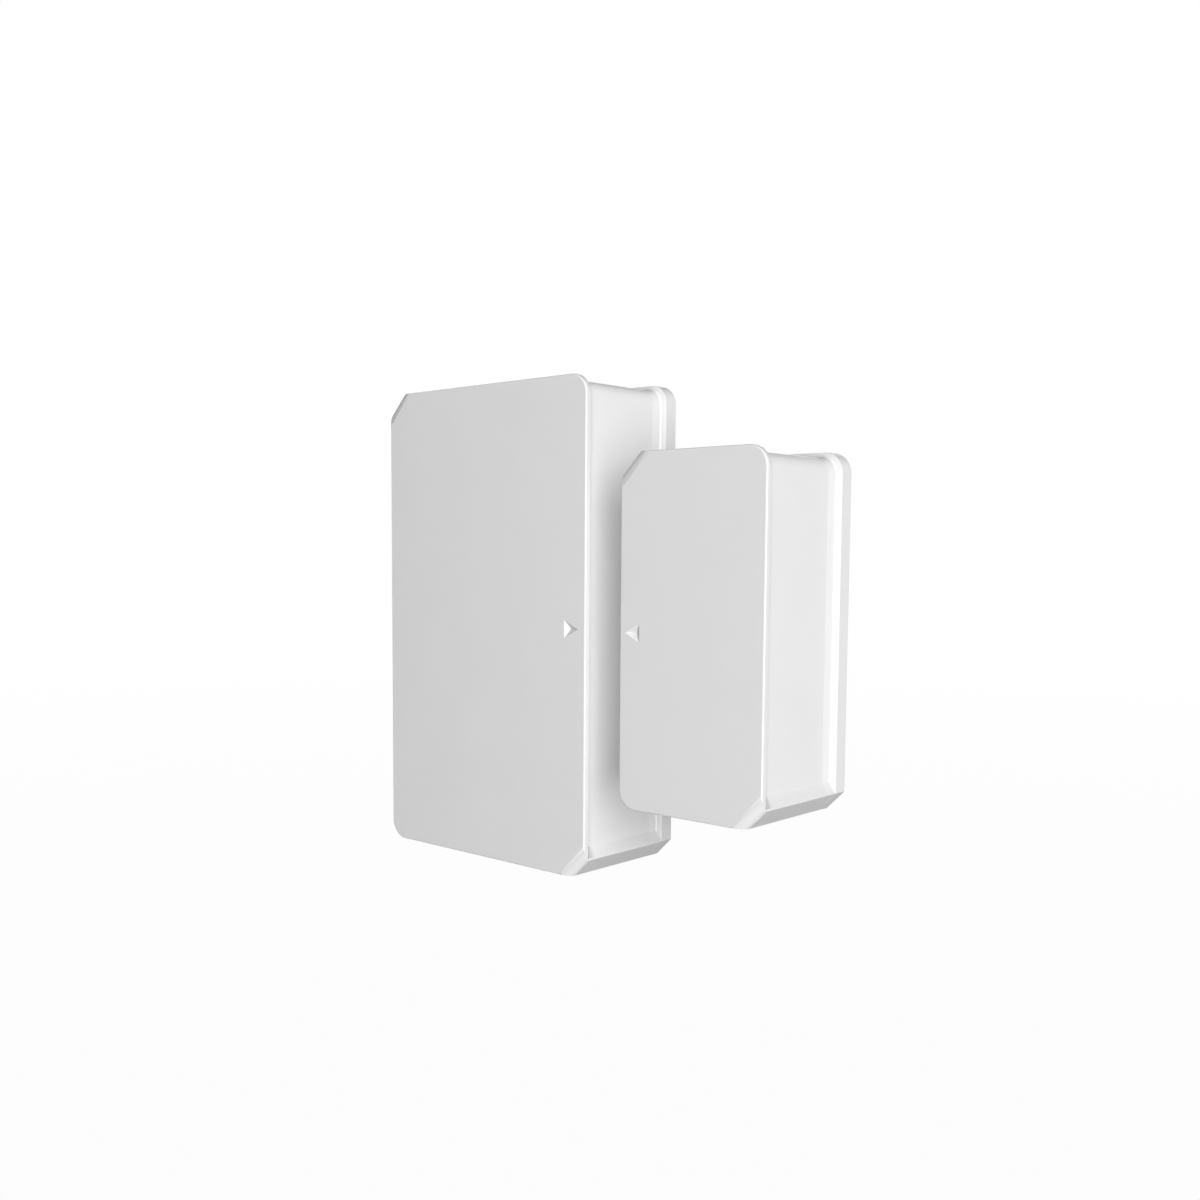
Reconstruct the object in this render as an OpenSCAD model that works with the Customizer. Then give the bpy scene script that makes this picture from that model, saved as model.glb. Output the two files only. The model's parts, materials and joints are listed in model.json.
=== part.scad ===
// Door contact sensor: a battery-powered sensor unit for the door frame and a magnet unit for the
// door leaf. Both stand on the wall plane Y = 0 and face -Y, +Z is up, and +X points from the
// sensor unit to the magnet unit. The origin is the middle of the sensor unit's back face.
// Millimetres throughout.

/* [Sensor unit] */
// Height of the sensor unit
sensor_h = 70; // [68:1:80]
// Width of the sensor unit
sensor_w = 41; // [41:0.5:46]

/* [Magnet unit] */
// Height of the magnet unit
magnet_h = 47.8; // [46:0.2:60]
// Width of the magnet unit
magnet_w = 23; // [23:0.5:28]
// Gap between the two units with the door shut
unit_gap = 6.2; // [2:0.2:12]

/* [Outline of both units] */
// Distance from the wall to the front face
unit_d = 19.8; // [19.8:0.2:24]
// Leg of the two slanted corners, top left and bottom right
corner_cut = 2.6; // [2:0.1:3.2]
// Leg of the slanted facet where it meets the front face
facet_cut = 4.75; // [4:0.25:6]
// How far the facet drops below the front face
facet_drop = 0.7; // [0.3:0.1:1]
// Radius of the two rounded corners, top right and bottom left
corner_r = 2.8; // [2.2:0.1:3.4]
// Radius of the front edge
edge_r = 0.45; // [0.2:0.05:0.6]
// How far the side walls step in behind the front rim
recess = 0.8; // [0.4:0.1:1]
// Thickness of the front rim
rim_t = 1; // [0.8:0.1:1.6]
// Length over which the side step runs out next to a slanted corner
run_out = 1.6; // [1:0.1:2.4]

/* [Alignment arrows] */
// Length of an arrow along X
arrow_w = 2.5; // [1.5:0.1:3.5]
// Height of an arrow
arrow_h = 2.6; // [1.5:0.1:4]
// Depth of an arrow at its deepest point
arrow_depth = 0.55; // [0.2:0.05:0.9]
// Distance from the sensor arrow's tip to the right edge
sensor_arrow_in = 1.4; // [1:0.1:3]
// Distance from the magnet arrow's tip to the left edge
magnet_arrow_in = 0.85; // [0.6:0.05:3]

/* [Shells] */
// Thickness of a cover's front wall
front_wall = 1.6; // [1.4:0.1:1.8]
// Thickness of a cover's side walls at the step
side_wall = 1.5; // [1.2:0.1:1.6]
// Thickness of a base plate
base_t = 2.45; // [2.3:0.05:2.6]
// Gap between a base plate and its cover, the seam line
seam = 0.15; // [0.1:0.05:0.3]
// Diameter of the wall screw holes
wall_hole_d = 4.2; // [3.6:0.1:4.4]
// Distance between the sensor unit's wall screw holes
sensor_hole_gap = 48; // [47:0.5:50]
// Distance between the magnet unit's wall screw holes
magnet_hole_gap = 30; // [28:0.5:31]

/* [Battery] */
// Diameter of the half-AA cell
cell_d = 14.5; // [14.1:0.1:14.5]
// Length of the half-AA cell with its button
cell_len = 25.2; // [24.6:0.1:25.4]

/* [Moving parts] */
// How far the tamper plunger comes out of the back
tamper_travel = 1.5; // [0.8:0.1:1.5]
// How far the pairing button goes in
button_travel = 0.25; // [0.15:0.05:0.35]

/* [Hidden] */

$fn = 64;
hull_fn = 32;
over = 0.5;                              // how far a cutting shape passes the face it cuts
skin = 0.02;                             // thickness of the slices that a hull joins

shell_t = recess + side_wall;            // from the outline to the cover's inside
cover_foot = base_t + seam;              // where a cover starts, from the wall
inside_d = unit_d - front_wall;          // where a cover's hollow ends, from the wall
plate_edge = base_t - 0.2;               // full-outline part of a base plate's edge
foot_flare = 0.35;                       // how far a cover's foot stands out of the step
foot_flare_h = 1.3;
inner_r = 0.8;                           // corner radius of a cover's hollow
magnet_x = sensor_w / 2 + unit_gap + magnet_w / 2;

// Lip and snap lugs that hold a cover on its base
fit_gap = 0.1;
lip_t = 1;
lip_h = 2.1;
lug_w = 6;
lug_slot = 0.8;
lug_h = 3.2;
lug_reach = 0.5;
lug_low = 1.6;                           // lug's hook, measured from the base plate
sensor_lug_y = 21;
magnet_lug_y = 12;
pry_w = 7;
pry_h = 0.9;
pry_in = 1.2;

// Wall screws
wall_hole_sink_d = 7.6;
wall_hole_land = 1.2;
battery_x = -8.75;
magnet_hole_x = 3.6;

// Circuit board
board_back = base_t + 2.75;
board_t = 1.2;
board_front = board_back + board_t;
board_left = 0.2;
board_right = 16.8;
board_half_h = 31;
board_wing_left = -16.8;
board_wing_low = 17;
access_hole_d = 9;
post_d = 4.6;
screw_d = 1.8;
screw_head_d = 3.4;
screw_head_h = 1.2;
screw_grip = 2.2;
board_screw_places = [[13.9, 27.6], [3.2, -27.9]];
board_peg_places = [[13.9, -27.9], [-14.4, 28.4]];
peg_d = 1.9;

// Battery
holder_wall = 0.9;
holder_floor = 0.7;
cell_play = 0.15;
spring_room = 4;
contact_t = 0.3;
cell_button_d = 5;
cell_button_h = 0.8;
cell_axis_d = base_t + holder_floor + 0.05 + cell_d / 2;
holder_w = cell_d + 2 * (cell_play + holder_wall);
holder_inner_h = cell_len + spring_room + 2 * contact_t + 0.3;
holder_h = holder_inner_h + 2 * holder_wall;
holder_inner_low = -holder_inner_h / 2;
cell_low = holder_inner_low + contact_t + spring_room;
tail_w = 2.4;
tail_d = board_front + 1.6;

// Reed switch
reed_x = 14.4;
reed_d = board_front + 2.1;
reed_glass_r = 1.1;
reed_glass_wall = 0.25;
reed_glass_len = 14;
reed_seal = 1.5;
reed_wire_r = 0.3;
reed_pitch = 19.6;
reed_blade_w = 0.9;
reed_blade_t = 0.22;
reed_blade_gap = 0.12;
reed_overlap = 1.4;

// Small parts on the board: [x, y] of each middle
radio_place = [10.2, -17.9];
chip_place = [6.3, 0.4];
crystal_place = [6.3, -6.6];
capacitor_place = [4.4, 25.4];
led_place = [8.6, 7.6];
switch_place = [6.6, 14.4];
tamper_place = [7.2, 21.4];
antenna_foot = [-15.6, 19];
antenna_r = 0.4;

// Pairing switch
switch_w = 6;
switch_h = 3.4;
button_d = 3.4;
button_out = 1.4;
running_gap = 0.05;

// Tamper plunger
tamper_body_w = 3.4;
tamper_body_h = 1.4;
tamper_nub_d = 1.5;
tamper_nub_h = 0.35;
plunger_d = 3;
flange_d = 6.4;
flange_t = 0.9;
flange_top = board_back - tamper_body_h - tamper_nub_h - 0.05;
flange_low = flange_top - flange_t;
tamper_pocket_d = 7;
tamper_pocket_low = flange_low - tamper_travel - 0.05;

// Light guide
guide_d = 3;
guide_low = board_front + 2.4;
guide_skin = 0.6;

// Magnet
bar_w = 6;
bar_h = 30;
bar_t = 6;
bar_x = -4.9;
bar_low = 5.6;
cheek_t = 0.9;
saddle_h = 3;
saddle_y = 10;
foam_t = 2;

// Adhesive pads
pad_t = 0.8;
pad_gap = 0.15;
sensor_pad = [28, 31];
magnet_pad = [17, 21];
pad_r = 2;

// ---------------------------------------------------------------- frames of reference

// Sub-parts are drawn in wall coordinates: X right, Y up, Z out from the wall.
module on_wall(x = 0) {
    translate([x, 0, 0])
        rotate([90, 0, 0])
            children();
}

module at_place(place, d = 0) {
    translate([place[0], place[1], d])
        children();
}

// ---------------------------------------------------------------- shared outlines

module round_rect(w, h, r) {
    square([w - 2 * r, h], center = true);
    square([w, h - 2 * r], center = true);
    for (sx = [-1, 1], sy = [-1, 1])
        translate([sx * (w / 2 - r), sy * (h / 2 - r)])
            circle(r);
}

// Front view of a unit: two slanted corners, and two rounded corners of radius r
module unit_outline(w, h, cut, r) {
    polygon([
        [-w / 2 + cut, h / 2], [w / 2 - r, h / 2], [w / 2, h / 2 - r],
        [w / 2, -h / 2 + cut], [w / 2 - cut, -h / 2], [-w / 2 + r, -h / 2],
        [-w / 2, -h / 2 + r], [-w / 2, h / 2 - cut]
    ]);
    for (s = [-1, 1])
        translate([s * (w / 2 - r), s * (h / 2 - r)])
            circle(r);
}

// The same outline moved in by e on every side
module inset_outline(w, h, e) {
    unit_outline(w - 2 * e, h - 2 * e, corner_cut - e * (2 - sqrt(2)), corner_r - e);
}

// Sweeps a profile along both stretches of edge between the slanted corners. The profile's x is
// the distance outside the outline, and its y is the distance from the wall.
module side_sweep(w, h) {
    for (turn = [0, 180])
        rotate([0, 0, turn])
            difference() {
                union() {
                    translate([w / 2, h / 2 - corner_r, 0])
                        rotate([90, 0, 0])
                            linear_extrude(h - corner_r - corner_cut)
                                children();
                    translate([w / 2 - corner_r, h / 2 - corner_r, 0])
                        rotate_extrude(angle = 90)
                            translate([corner_r, 0])
                                children();
                    translate([-w / 2 + corner_cut, h / 2, 0])
                        rotate([90, 0, 90])
                            linear_extrude(w - corner_r - corner_cut)
                                children();
                }
                run_out_wedge(w / 2, -h / 2 + corner_cut);
                mirror([1, -1, 0])
                    run_out_wedge(h / 2, -w / 2 + corner_cut);
            }
}

// Keeps the material where the step runs out, beside the slanted corner at height y
module run_out_wedge(x, y) {
    translate([0, 0, -over])
        linear_extrude(unit_d + 2 * over)
            polygon([[x - recess, y + run_out], [x + recess, y - run_out], [x - recess, y - run_out]]);
}

// Slanted facets on the front face at the two slanted corners
module corner_facets(w, h) {
    side = 12;
    from_middle = ((w + h) / 2 - facet_cut) / sqrt(2);
    slope = atan2(facet_drop, (facet_cut - corner_cut) / sqrt(2));
    for (turn = [-45, 135])
        rotate([0, 0, turn])
            translate([from_middle, (w - h) / 2 / sqrt(2), unit_d])
                rotate([0, slope, 0])
                    translate([0, -side / 2, 0])
                        cube(side);
}

// Pyramid-shaped pit whose tip points to +X or -X
module arrow_pit(tip_x, point) {
    grow = (arrow_depth + over) / arrow_depth;
    middle = tip_x - point * arrow_w * 2 / 3;
    function corner(dx, y) = [middle + point * dx * grow, y * grow, unit_d + over];
    polyhedron(
        points = [
            corner(arrow_w * 2 / 3, 0), corner(-arrow_w / 3, arrow_h / 2),
            corner(-arrow_w / 3, -arrow_h / 2), [middle, 0, unit_d - arrow_depth]
        ],
        faces = point > 0
            ? [[0, 2, 1], [0, 1, 3], [1, 2, 3], [2, 0, 3]]
            : [[0, 1, 2], [0, 3, 1], [1, 3, 2], [2, 3, 0]]
    );
}

// ---------------------------------------------------------------- shells

module lug_places(w, lug_y) {
    for (side = [0, 180], sy = [-1, 1])
        rotate([0, 0, side])
            translate([w / 2 - shell_t - fit_gap, sy * lug_y, 0])
                children();
}

module cover_side_profile() {
    rim_low = unit_d - rim_t;
    polygon([
        [-recess + foot_flare, 0], [-recess + foot_flare, cover_foot],
        [-recess, cover_foot + foot_flare_h], [-recess, rim_low - 0.3], [0, rim_low],
        [over, rim_low], [over, 0]
    ]);
}

module base_side_profile() {
    polygon([
        [-recess, base_t], [0, plate_edge], [over, plate_edge],
        [over, base_t + over], [-recess, base_t + over]
    ]);
}

// A cover without its inner details
module shell_cover(w, h, lug_y) {
    difference() {
        union() {
            translate([0, 0, cover_foot])
                linear_extrude(unit_d - edge_r - cover_foot)
                    unit_outline(w, h, corner_cut, corner_r);
            hull()
                for (a = [0:30:90])
                    translate([0, 0, unit_d - skin - edge_r * (1 - sin(a))])
                        linear_extrude(skin)
                            inset_outline(w, h, edge_r * (1 - cos(a)), $fn = hull_fn);
        }
        side_sweep(w, h)
            cover_side_profile();
        corner_facets(w, h);
        linear_extrude(inside_d)
            round_rect(w - 2 * shell_t, h - 2 * shell_t, inner_r);
        lug_places(w, lug_y)
            translate([0, -lug_w / 2 - 0.25, base_t + lug_low - 0.2])
                cube([fit_gap + lug_reach + 0.15, lug_w + 0.5, lug_h - lug_low + 0.4]);
        translate([-pry_w / 2, -h / 2 - over, 0])
            cube([pry_w, pry_in + over, cover_foot + pry_h]);
    }
}

// A base plate with its lip and snap lugs
module shell_base(w, h, lug_y) {
    lip_w = w - 2 * (shell_t + fit_gap);
    lip_span = h - 2 * (shell_t + fit_gap);
    difference() {
        linear_extrude(base_t)
            unit_outline(w, h, corner_cut, corner_r);
        side_sweep(w, h)
            base_side_profile();
    }
    difference() {
        translate([0, 0, base_t - over])
            linear_extrude(lip_h + over)
                difference() {
                    round_rect(lip_w, lip_span, inner_r);
                    round_rect(lip_w - 2 * lip_t, lip_span - 2 * lip_t, inner_r / 2);
                }
        lug_places(w, lug_y)
            translate([-lip_t - over, -lug_w / 2 - lug_slot, base_t])
                cube([lip_t + 2 * over, lug_w + 2 * lug_slot, lip_h + over]);
    }
    lug_places(w, lug_y)
        snap_lug();
}

module snap_lug() {
    translate([0, lug_w / 2, base_t - over])
        rotate([90, 0, 0])
            linear_extrude(lug_w)
                polygon([
                    [-lip_t, 0], [0, 0], [0, over + lug_low], [lug_reach, over + lug_low + 0.4],
                    [lug_reach, over + lug_h - 0.8], [-0.2, over + lug_h], [-lip_t, over + lug_h]
                ]);
}

// Countersunk wall screw holes, one above the other
module wall_holes(x, gap) {
    for (s = [-1, 1])
        translate([x, s * gap / 2, 0]) {
            translate([0, 0, -over])
                cylinder(h = base_t + 2 * over, d = wall_hole_d);
            translate([0, 0, wall_hole_land])
                cylinder(h = base_t - wall_hole_land, d1 = wall_hole_d, d2 = wall_hole_sink_d);
        }
}

module pad_outline(size, gap = 0) {
    round_rect(size[0] + 2 * gap, size[1] + 2 * gap, pad_r);
}

module sensor_base() {
    color("whitesmoke")
        on_wall()
            difference() {
                union() {
                    shell_base(sensor_w, sensor_h, sensor_lug_y);
                    board_posts();
                    holder_pegs();
                }
                wall_holes(battery_x, sensor_hole_gap);
                translate([0, 0, -over])
                    linear_extrude(pad_t + over)
                        pad_outline(sensor_pad, pad_gap);
                for (place = board_screw_places)
                    at_place(place, base_t)
                        cylinder(h = board_back, d = screw_d);
                at_place(tamper_place, tamper_pocket_low)
                    cylinder(h = board_back, d = tamper_pocket_d);
                at_place(tamper_place, -over)
                    cylinder(h = board_back, r = plunger_d / 2 + running_gap);
            }
}

// Posts that carry the circuit board: two take screws and two end in locating pegs
module board_posts() {
    for (place = board_screw_places)
        at_place(place, base_t - over)
            cylinder(h = board_back - base_t + over, d = post_d);
    for (place = board_peg_places)
        at_place(place, base_t - over) {
            cylinder(h = board_back - base_t + over, d = post_d);
            cylinder(h = board_front - base_t + over + 0.5, d = peg_d);
        }
}

module holder_peg_places() {
    for (sx = [-1, 1], sy = [-1, 1])
        translate([battery_x + sx * 5.6, sy * 9, 0])
            children();
}

module holder_pegs() {
    holder_peg_places()
        translate([0, 0, base_t - over]) {
            cylinder(h = holder_floor + over + 0.6, d = 1.6);
            translate([0, 0, holder_floor + over + 0.02])
                cylinder(h = 0.6, d = 2.6);
        }
}

module sensor_cover() {
    rib_low = cell_axis_d + cell_d / 2 + 0.1;
    color("white")
        on_wall()
            difference() {
                union() {
                    shell_cover(sensor_w, sensor_h, sensor_lug_y);
                    for (sy = [-1, 1])
                        translate([battery_x - 5, sy * 6 - 0.5, rib_low])
                            cube([10, 1, inside_d - rib_low + over]);
                    at_place(led_place, inside_d - 2.2)
                        cylinder(h = 2.2 + over, d = guide_d + 2);
                    for (sy = [-1, 1])
                        translate([-sensor_w / 2 + shell_t - over, sy * 27.5 - 0.5, inside_d - 1])
                            cube([sensor_w - 2 * shell_t + 2 * over, 1, 1 + over]);
                }
                at_place(led_place, inside_d - 2.2 - over)
                    cylinder(h = unit_d - guide_skin - inside_d + 2.2 + over, r = guide_d / 2 + 0.02);
                arrow_pit(sensor_w / 2 - sensor_arrow_in, 1);
            }
}

module light_guide() {
    color("aliceblue")
        on_wall()
            at_place(led_place, guide_low) {
                cylinder(h = unit_d - guide_skin - guide_low - 0.05, d = guide_d);
                cylinder(h = 0.6, d1 = guide_d - 0.6, d2 = guide_d + 0.8);
                translate([0, 0, 0.6])
                    cylinder(h = 0.8, d = guide_d + 0.8);
            }
}

// ---------------------------------------------------------------- circuit board and fixings

module circuit_board() {
    color("seagreen")
        on_wall()
            translate([0, 0, board_back])
                difference() {
                    linear_extrude(board_t)
                        difference() {
                            union() {
                                translate([board_left, -board_half_h])
                                    square([board_right - board_left, 2 * board_half_h]);
                                translate([board_wing_left, board_wing_low])
                                    square([
                                        board_left - board_wing_left + over,
                                        board_half_h - board_wing_low
                                    ]);
                            }
                            translate([battery_x, sensor_hole_gap / 2])
                                circle(d = access_hole_d);
                            for (place = board_screw_places)
                                translate(place)
                                    circle(d = screw_d + 0.4);
                            for (place = board_peg_places)
                                translate(place)
                                    circle(d = peg_d + 0.1);
                            for (s = [-1, 1])
                                translate([reed_x, s * reed_pitch / 2])
                                    circle(r = reed_wire_r + 0.05);
                            translate(antenna_foot)
                                circle(r = antenna_r + 0.05);
                        }
                }
}

module board_screws() {
    color("silver")
        on_wall()
            for (place = board_screw_places)
                at_place(place, board_front + 0.02)
                    difference() {
                        union() {
                            translate([0, 0, -board_t - screw_grip])
                                cylinder(h = board_t + screw_grip + over, d = screw_d - 0.04);
                            cylinder(h = screw_head_h * 0.6, d = screw_head_d);
                            translate([0, 0, screw_head_h * 0.6])
                                cylinder(h = screw_head_h * 0.4, d1 = screw_head_d, d2 = screw_head_d - 1);
                        }
                        for (turn = [0, 90])
                            rotate([0, 0, turn])
                                translate([-0.95, -0.2, screw_head_h - 0.7])
                                    cube([1.9, 0.4, 1]);
                    }
}

// ---------------------------------------------------------------- battery

module battery_holder() {
    slot = contact_t + 0.1;
    color("dimgray")
        on_wall()
            translate([battery_x, 0, base_t])
                difference() {
                    translate([-holder_w / 2, -holder_h / 2, 0])
                        cube([holder_w, holder_h, cell_axis_d - base_t]);
                    // trough for the cell
                    translate([0, holder_h / 2 - holder_wall, cell_axis_d - base_t])
                        rotate([90, 0, 0])
                            cylinder(h = holder_inner_h, r = cell_d / 2 + cell_play - 0.1);
                    translate([-holder_w / 2 + holder_wall, -holder_inner_h / 2, holder_floor])
                        cube([holder_w - 2 * holder_wall, holder_inner_h, cell_axis_d]);
                    // finger notches, and slots for the contacts' tails
                    for (side = [-1, 1])
                        translate([side * holder_w / 2 - 1.5, -5, 5])
                            cube([3, 10, cell_axis_d]);
                    translate([-tail_w / 2 - 0.1, holder_inner_h / 2 - over, board_front - base_t - 0.1])
                        cube([tail_w + 0.2, holder_wall + 2 * over, cell_axis_d]);
                    translate([
                        holder_w / 2 - holder_wall - over, holder_inner_low - 0.01,
                        board_front - base_t - 0.1
                    ])
                        cube([holder_wall + 2 * over, slot, cell_axis_d]);
                    translate([-battery_x, 0, 0])
                        holder_peg_places()
                            translate([0, 0, -over])
                                cylinder(h = holder_floor + 2 * over, d = 1.7);
                }
}

module battery_cell() {
    r = cell_d / 2;
    body = cell_len - cell_button_h;
    color("royalblue")
        on_wall()
            translate([battery_x, cell_low, cell_axis_d])
                rotate([-90, 0, 0])
                    rotate_extrude()
                        polygon([
                            [0, 0], [r - 0.5, 0], [r, 0.5], [r, body - 2.4], [r - 0.35, body - 2],
                            [r - 0.35, body - 1.6], [r, body - 1.2], [r, body - 0.4], [r - 0.4, body],
                            [cell_button_d / 2, body], [cell_button_d / 2, cell_len - 0.2],
                            [cell_button_d / 2 - 0.2, cell_len], [0, cell_len]
                        ]);
}

// A conical or straight round-wire spring along +Z from z = 0
module coil_spring(r_low, r_high, height, turns, wire_r) {
    ring = 8;
    steps = turns * 20;
    rise = height - 2 * wire_r;
    function centre_r(i) = r_low + (r_high - r_low) * i / steps;
    function ring_point(i, j) = let(
        t = 360 * turns * i / steps,
        a = 360 * j / ring,
        r = centre_r(i) + wire_r * cos(a)
    ) [r * cos(t), r * sin(t), wire_r + rise * i / steps + wire_r * sin(a)];
    polyhedron(
        points = [for (i = [0:steps], j = [0:ring - 1]) ring_point(i, j)],
        faces = concat(
            [[for (j = [0:ring - 1]) j]],
            [for (i = [0:steps - 1], j = [0:ring - 1]) let(k = (j + 1) % ring)
                [i * ring + j, (i + 1) * ring + j, (i + 1) * ring + k]],
            [for (i = [0:steps - 1], j = [0:ring - 1]) let(k = (j + 1) % ring)
                [i * ring + j, (i + 1) * ring + k, i * ring + k]],
            [[for (j = [ring - 1:-1:0]) steps * ring + j]]
        )
    );
}

module battery_spring() {
    color("silver")
        on_wall()
            translate([battery_x, holder_inner_low + contact_t + 0.02, cell_axis_d])
                rotate([-90, 0, 0])
                    coil_spring(4.6, 2.6, spring_room - 0.06, 4, 0.3);
}

// Nickel plate at the sprung end, with an arm that reaches over the board's edge
module battery_negative_contact() {
    arm_end = 2.6;
    color("silver")
        on_wall()
            translate([0, holder_inner_low, 0]) {
                translate([battery_x - 5.5, 0.02, cell_axis_d - 4.5])
                    cube([11, contact_t - 0.02, 9]);
                translate([battery_x, 0.02, board_front + 0.02])
                    cube([arm_end - battery_x, contact_t - 0.02, 2.4]);
                translate([arm_end - tail_w, 0.02, board_front + 0.02])
                    cube([tail_w, 2, contact_t]);
            }
}

// Nickel plate at the button end, with a tail that reaches up over the board's edge
module battery_positive_contact() {
    tail_run = board_wing_low + 1.8 - holder_inner_h / 2;
    cell_gap = holder_inner_h / 2 - contact_t - cell_low - cell_len;
    color("silver")
        on_wall()
            translate([battery_x, holder_inner_h / 2 - contact_t, 0]) {
                difference() {
                    union() {
                        translate([-4.5, 0, cell_axis_d - 3.5])
                            cube([9, contact_t - 0.02, 7]);
                        translate([0, 0.1, cell_axis_d])
                            rotate([90, 0, 0])
                                cylinder(h = cell_gap + 0.08, d1 = 3.6, d2 = 3);
                    }
                    translate([0, 0, cell_axis_d])
                        rotate([-90, 0, 0])
                            cylinder(h = over, d = 2.6);
                }
                translate([-tail_w / 2, 0, tail_d - 0.5])
                    cube([tail_w, contact_t - 0.02, 2]);
                translate([-tail_w / 2, 0, tail_d - contact_t])
                    cube([tail_w, tail_run, contact_t]);
                translate([-tail_w / 2, tail_run - contact_t, board_front + 0.02])
                    cube([tail_w, contact_t, tail_d - board_front - 0.02]);
            }
}

// ---------------------------------------------------------------- reed switch

module reed_glass() {
    r = reed_glass_r;
    half = reed_glass_len / 2;
    inner = r - reed_glass_wall;
    bore = reed_wire_r + 0.01;
    color("lightcyan")
        on_wall()
            translate([reed_x, 0, reed_d])
                rotate([-90, 0, 0])
                    rotate_extrude()
                        polygon([
                            [bore, -half], [r - 0.5, -half], [r - 0.12, -half + 0.4], [r, -half + 1],
                            [r, half - 1], [r - 0.12, half - 0.4], [r - 0.5, half], [bore, half],
                            [bore, half - reed_seal], [inner, half - reed_seal - 0.6],
                            [inner, -half + reed_seal + 0.6], [bore, -half + reed_seal]
                        ]);
}

// One lead: a wire that comes up through the board, bends and ends as a flat blade in the glass
module reed_lead(side, blade_shift) {
    bend = reed_pitch / 2;
    neck = reed_glass_len / 2 - reed_seal - 0.4;
    foot = reed_d - board_back + 0.8;
    blade_end = neck + 0.4;
    blade_low = blade_shift - reed_blade_t / 2;
    on_wall()
        translate([reed_x, 0, reed_d]) {
            translate([0, side * bend, -foot])
                cylinder(h = foot, r = reed_wire_r);
            translate([0, side * bend, 0])
                sphere(r = reed_wire_r);
            translate([0, side * bend, 0])
                rotate([90 * side, 0, 0])
                    cylinder(h = bend - neck, r = reed_wire_r);
            translate([-reed_blade_w / 2, side > 0 ? -reed_overlap / 2 : -blade_end, blade_low])
                cube([reed_blade_w, blade_end + reed_overlap / 2, reed_blade_t]);
        }
}

module reed_lead_upper() {
    color("silver")
        reed_lead(1, (reed_blade_t + reed_blade_gap) / 2);
}

module reed_lead_lower() {
    color("silver")
        reed_lead(-1, -(reed_blade_t + reed_blade_gap) / 2);
}

// ---------------------------------------------------------------- parts on the board

module radio_board() {
    w = 12;
    h = 15;
    color("darkgreen")
        on_wall()
            at_place(radio_place, board_front + 0.02)
                linear_extrude(0.8)
                    difference() {
                        square([w, h], center = true);
                        for (side = [-1, 1], i = [0:7])
                            translate([side * w / 2, (i - 3.5) * 1.6])
                                circle(d = 0.7);
                    }
}

module radio_shield() {
    w = 10;
    h = 10;
    t = 0.2;
    high = 1.8;
    color("gainsboro")
        on_wall()
            at_place(radio_place, board_front + 0.84)
                translate([-w / 2, -h / 2 - 1.8, 0])
                    difference() {
                        cube([w, h, high]);
                        translate([t, t, -over])
                            cube([w - 2 * t, h - 2 * t, high - t + over]);
                        for (i = [0:2], j = [0:2])
                            translate([w / 2 + (i - 1) * 2.4, h / 2 + (j - 1) * 2.4, high / 2])
                                cylinder(h = high, d = 0.8);
                    }
}

// Quarter-wave wire that runs round the board's upper wing
module antenna_wire() {
    x = antenna_foot[0];
    y = antenna_foot[1];
    d = board_front + 3;
    path = [
        [x, y, board_back - 0.5], [x, y, d], [x, y + 6.2, d], [x + 3.4, y + 10.9, d],
        [9.6, y + 10.9, d]
    ];
    color("goldenrod")
        on_wall() {
            for (i = [0:len(path) - 2])
                wire_between(path[i], path[i + 1], antenna_r);
            for (i = [1:len(path) - 2])
                translate(path[i])
                    sphere(r = antenna_r, $fn = 32);
        }
}

module wire_between(a, b, r) {
    v = b - a;
    translate(a)
        rotate([0, acos(v[2] / norm(v)), atan2(v[1], v[0])])
            cylinder(h = norm(v), r = r, $fn = 32);
}

module controller_chip() {
    w = 7;
    t = 1;
    lead_n = 8;
    lead_w = 0.35;
    reach = 1;
    color("darkslategray")
        on_wall()
            at_place(chip_place, board_front + 0.02) {
                difference() {
                    translate([-w / 2, -w / 2, 0.1])
                        cube([w, w, t]);
                    translate([-w / 2 + 1, w / 2 - 1, 0.1 + t - 0.1])
                        cylinder(h = over, d = 0.8);
                }
                for (turn = [0:90:270], i = [0:lead_n - 1])
                    rotate([0, 0, turn])
                        translate([w / 2 - 0.3, (i - (lead_n - 1) / 2) * 0.8 - lead_w / 2, 0]) {
                            translate([0, 0, 0.45])
                                cube([0.3 + reach * 0.5, lead_w, 0.15]);
                            translate([0.3 + reach * 0.5 - 0.15, 0, 0])
                                cube([0.15, lead_w, 0.6]);
                            translate([0.3 + reach * 0.5 - 0.15, 0, 0])
                                cube([reach * 0.5 + 0.15, lead_w, 0.15]);
                        }
            }
}

module clock_crystal() {
    color("silver")
        on_wall()
            at_place(crystal_place, board_front + 0.02) {
                translate([0, 0, 0.3])
                    linear_extrude(2)
                        round_rect(8, 3.4, 1.68);
                linear_extrude(0.32)
                    round_rect(9, 4, 1.98);
            }
}

module storage_capacitor() {
    d = 5;
    high = 5.4;
    color("lightsteelblue")
        on_wall()
            at_place(capacitor_place, board_front + 0.02) {
                difference() {
                    translate([-2.65, -2.65, 0])
                        cube([5.3, 5.3, 0.8]);
                    for (s = [-1, 1])
                        translate([2.65, s * 2.65, -over])
                            rotate([0, 0, 45])
                                cube([1.2, 1.2, 3], center = true);
                }
                translate([0, 0, 0.7])
                    rotate_extrude()
                        polygon([
                            [0, 0], [d / 2, 0], [d / 2, 0.6], [d / 2 - 0.25, 0.9], [d / 2, 1.2],
                            [d / 2, high - 1], [d / 2 - 0.3, high - 0.7], [0, high - 0.7]
                        ]);
            }
}

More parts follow.
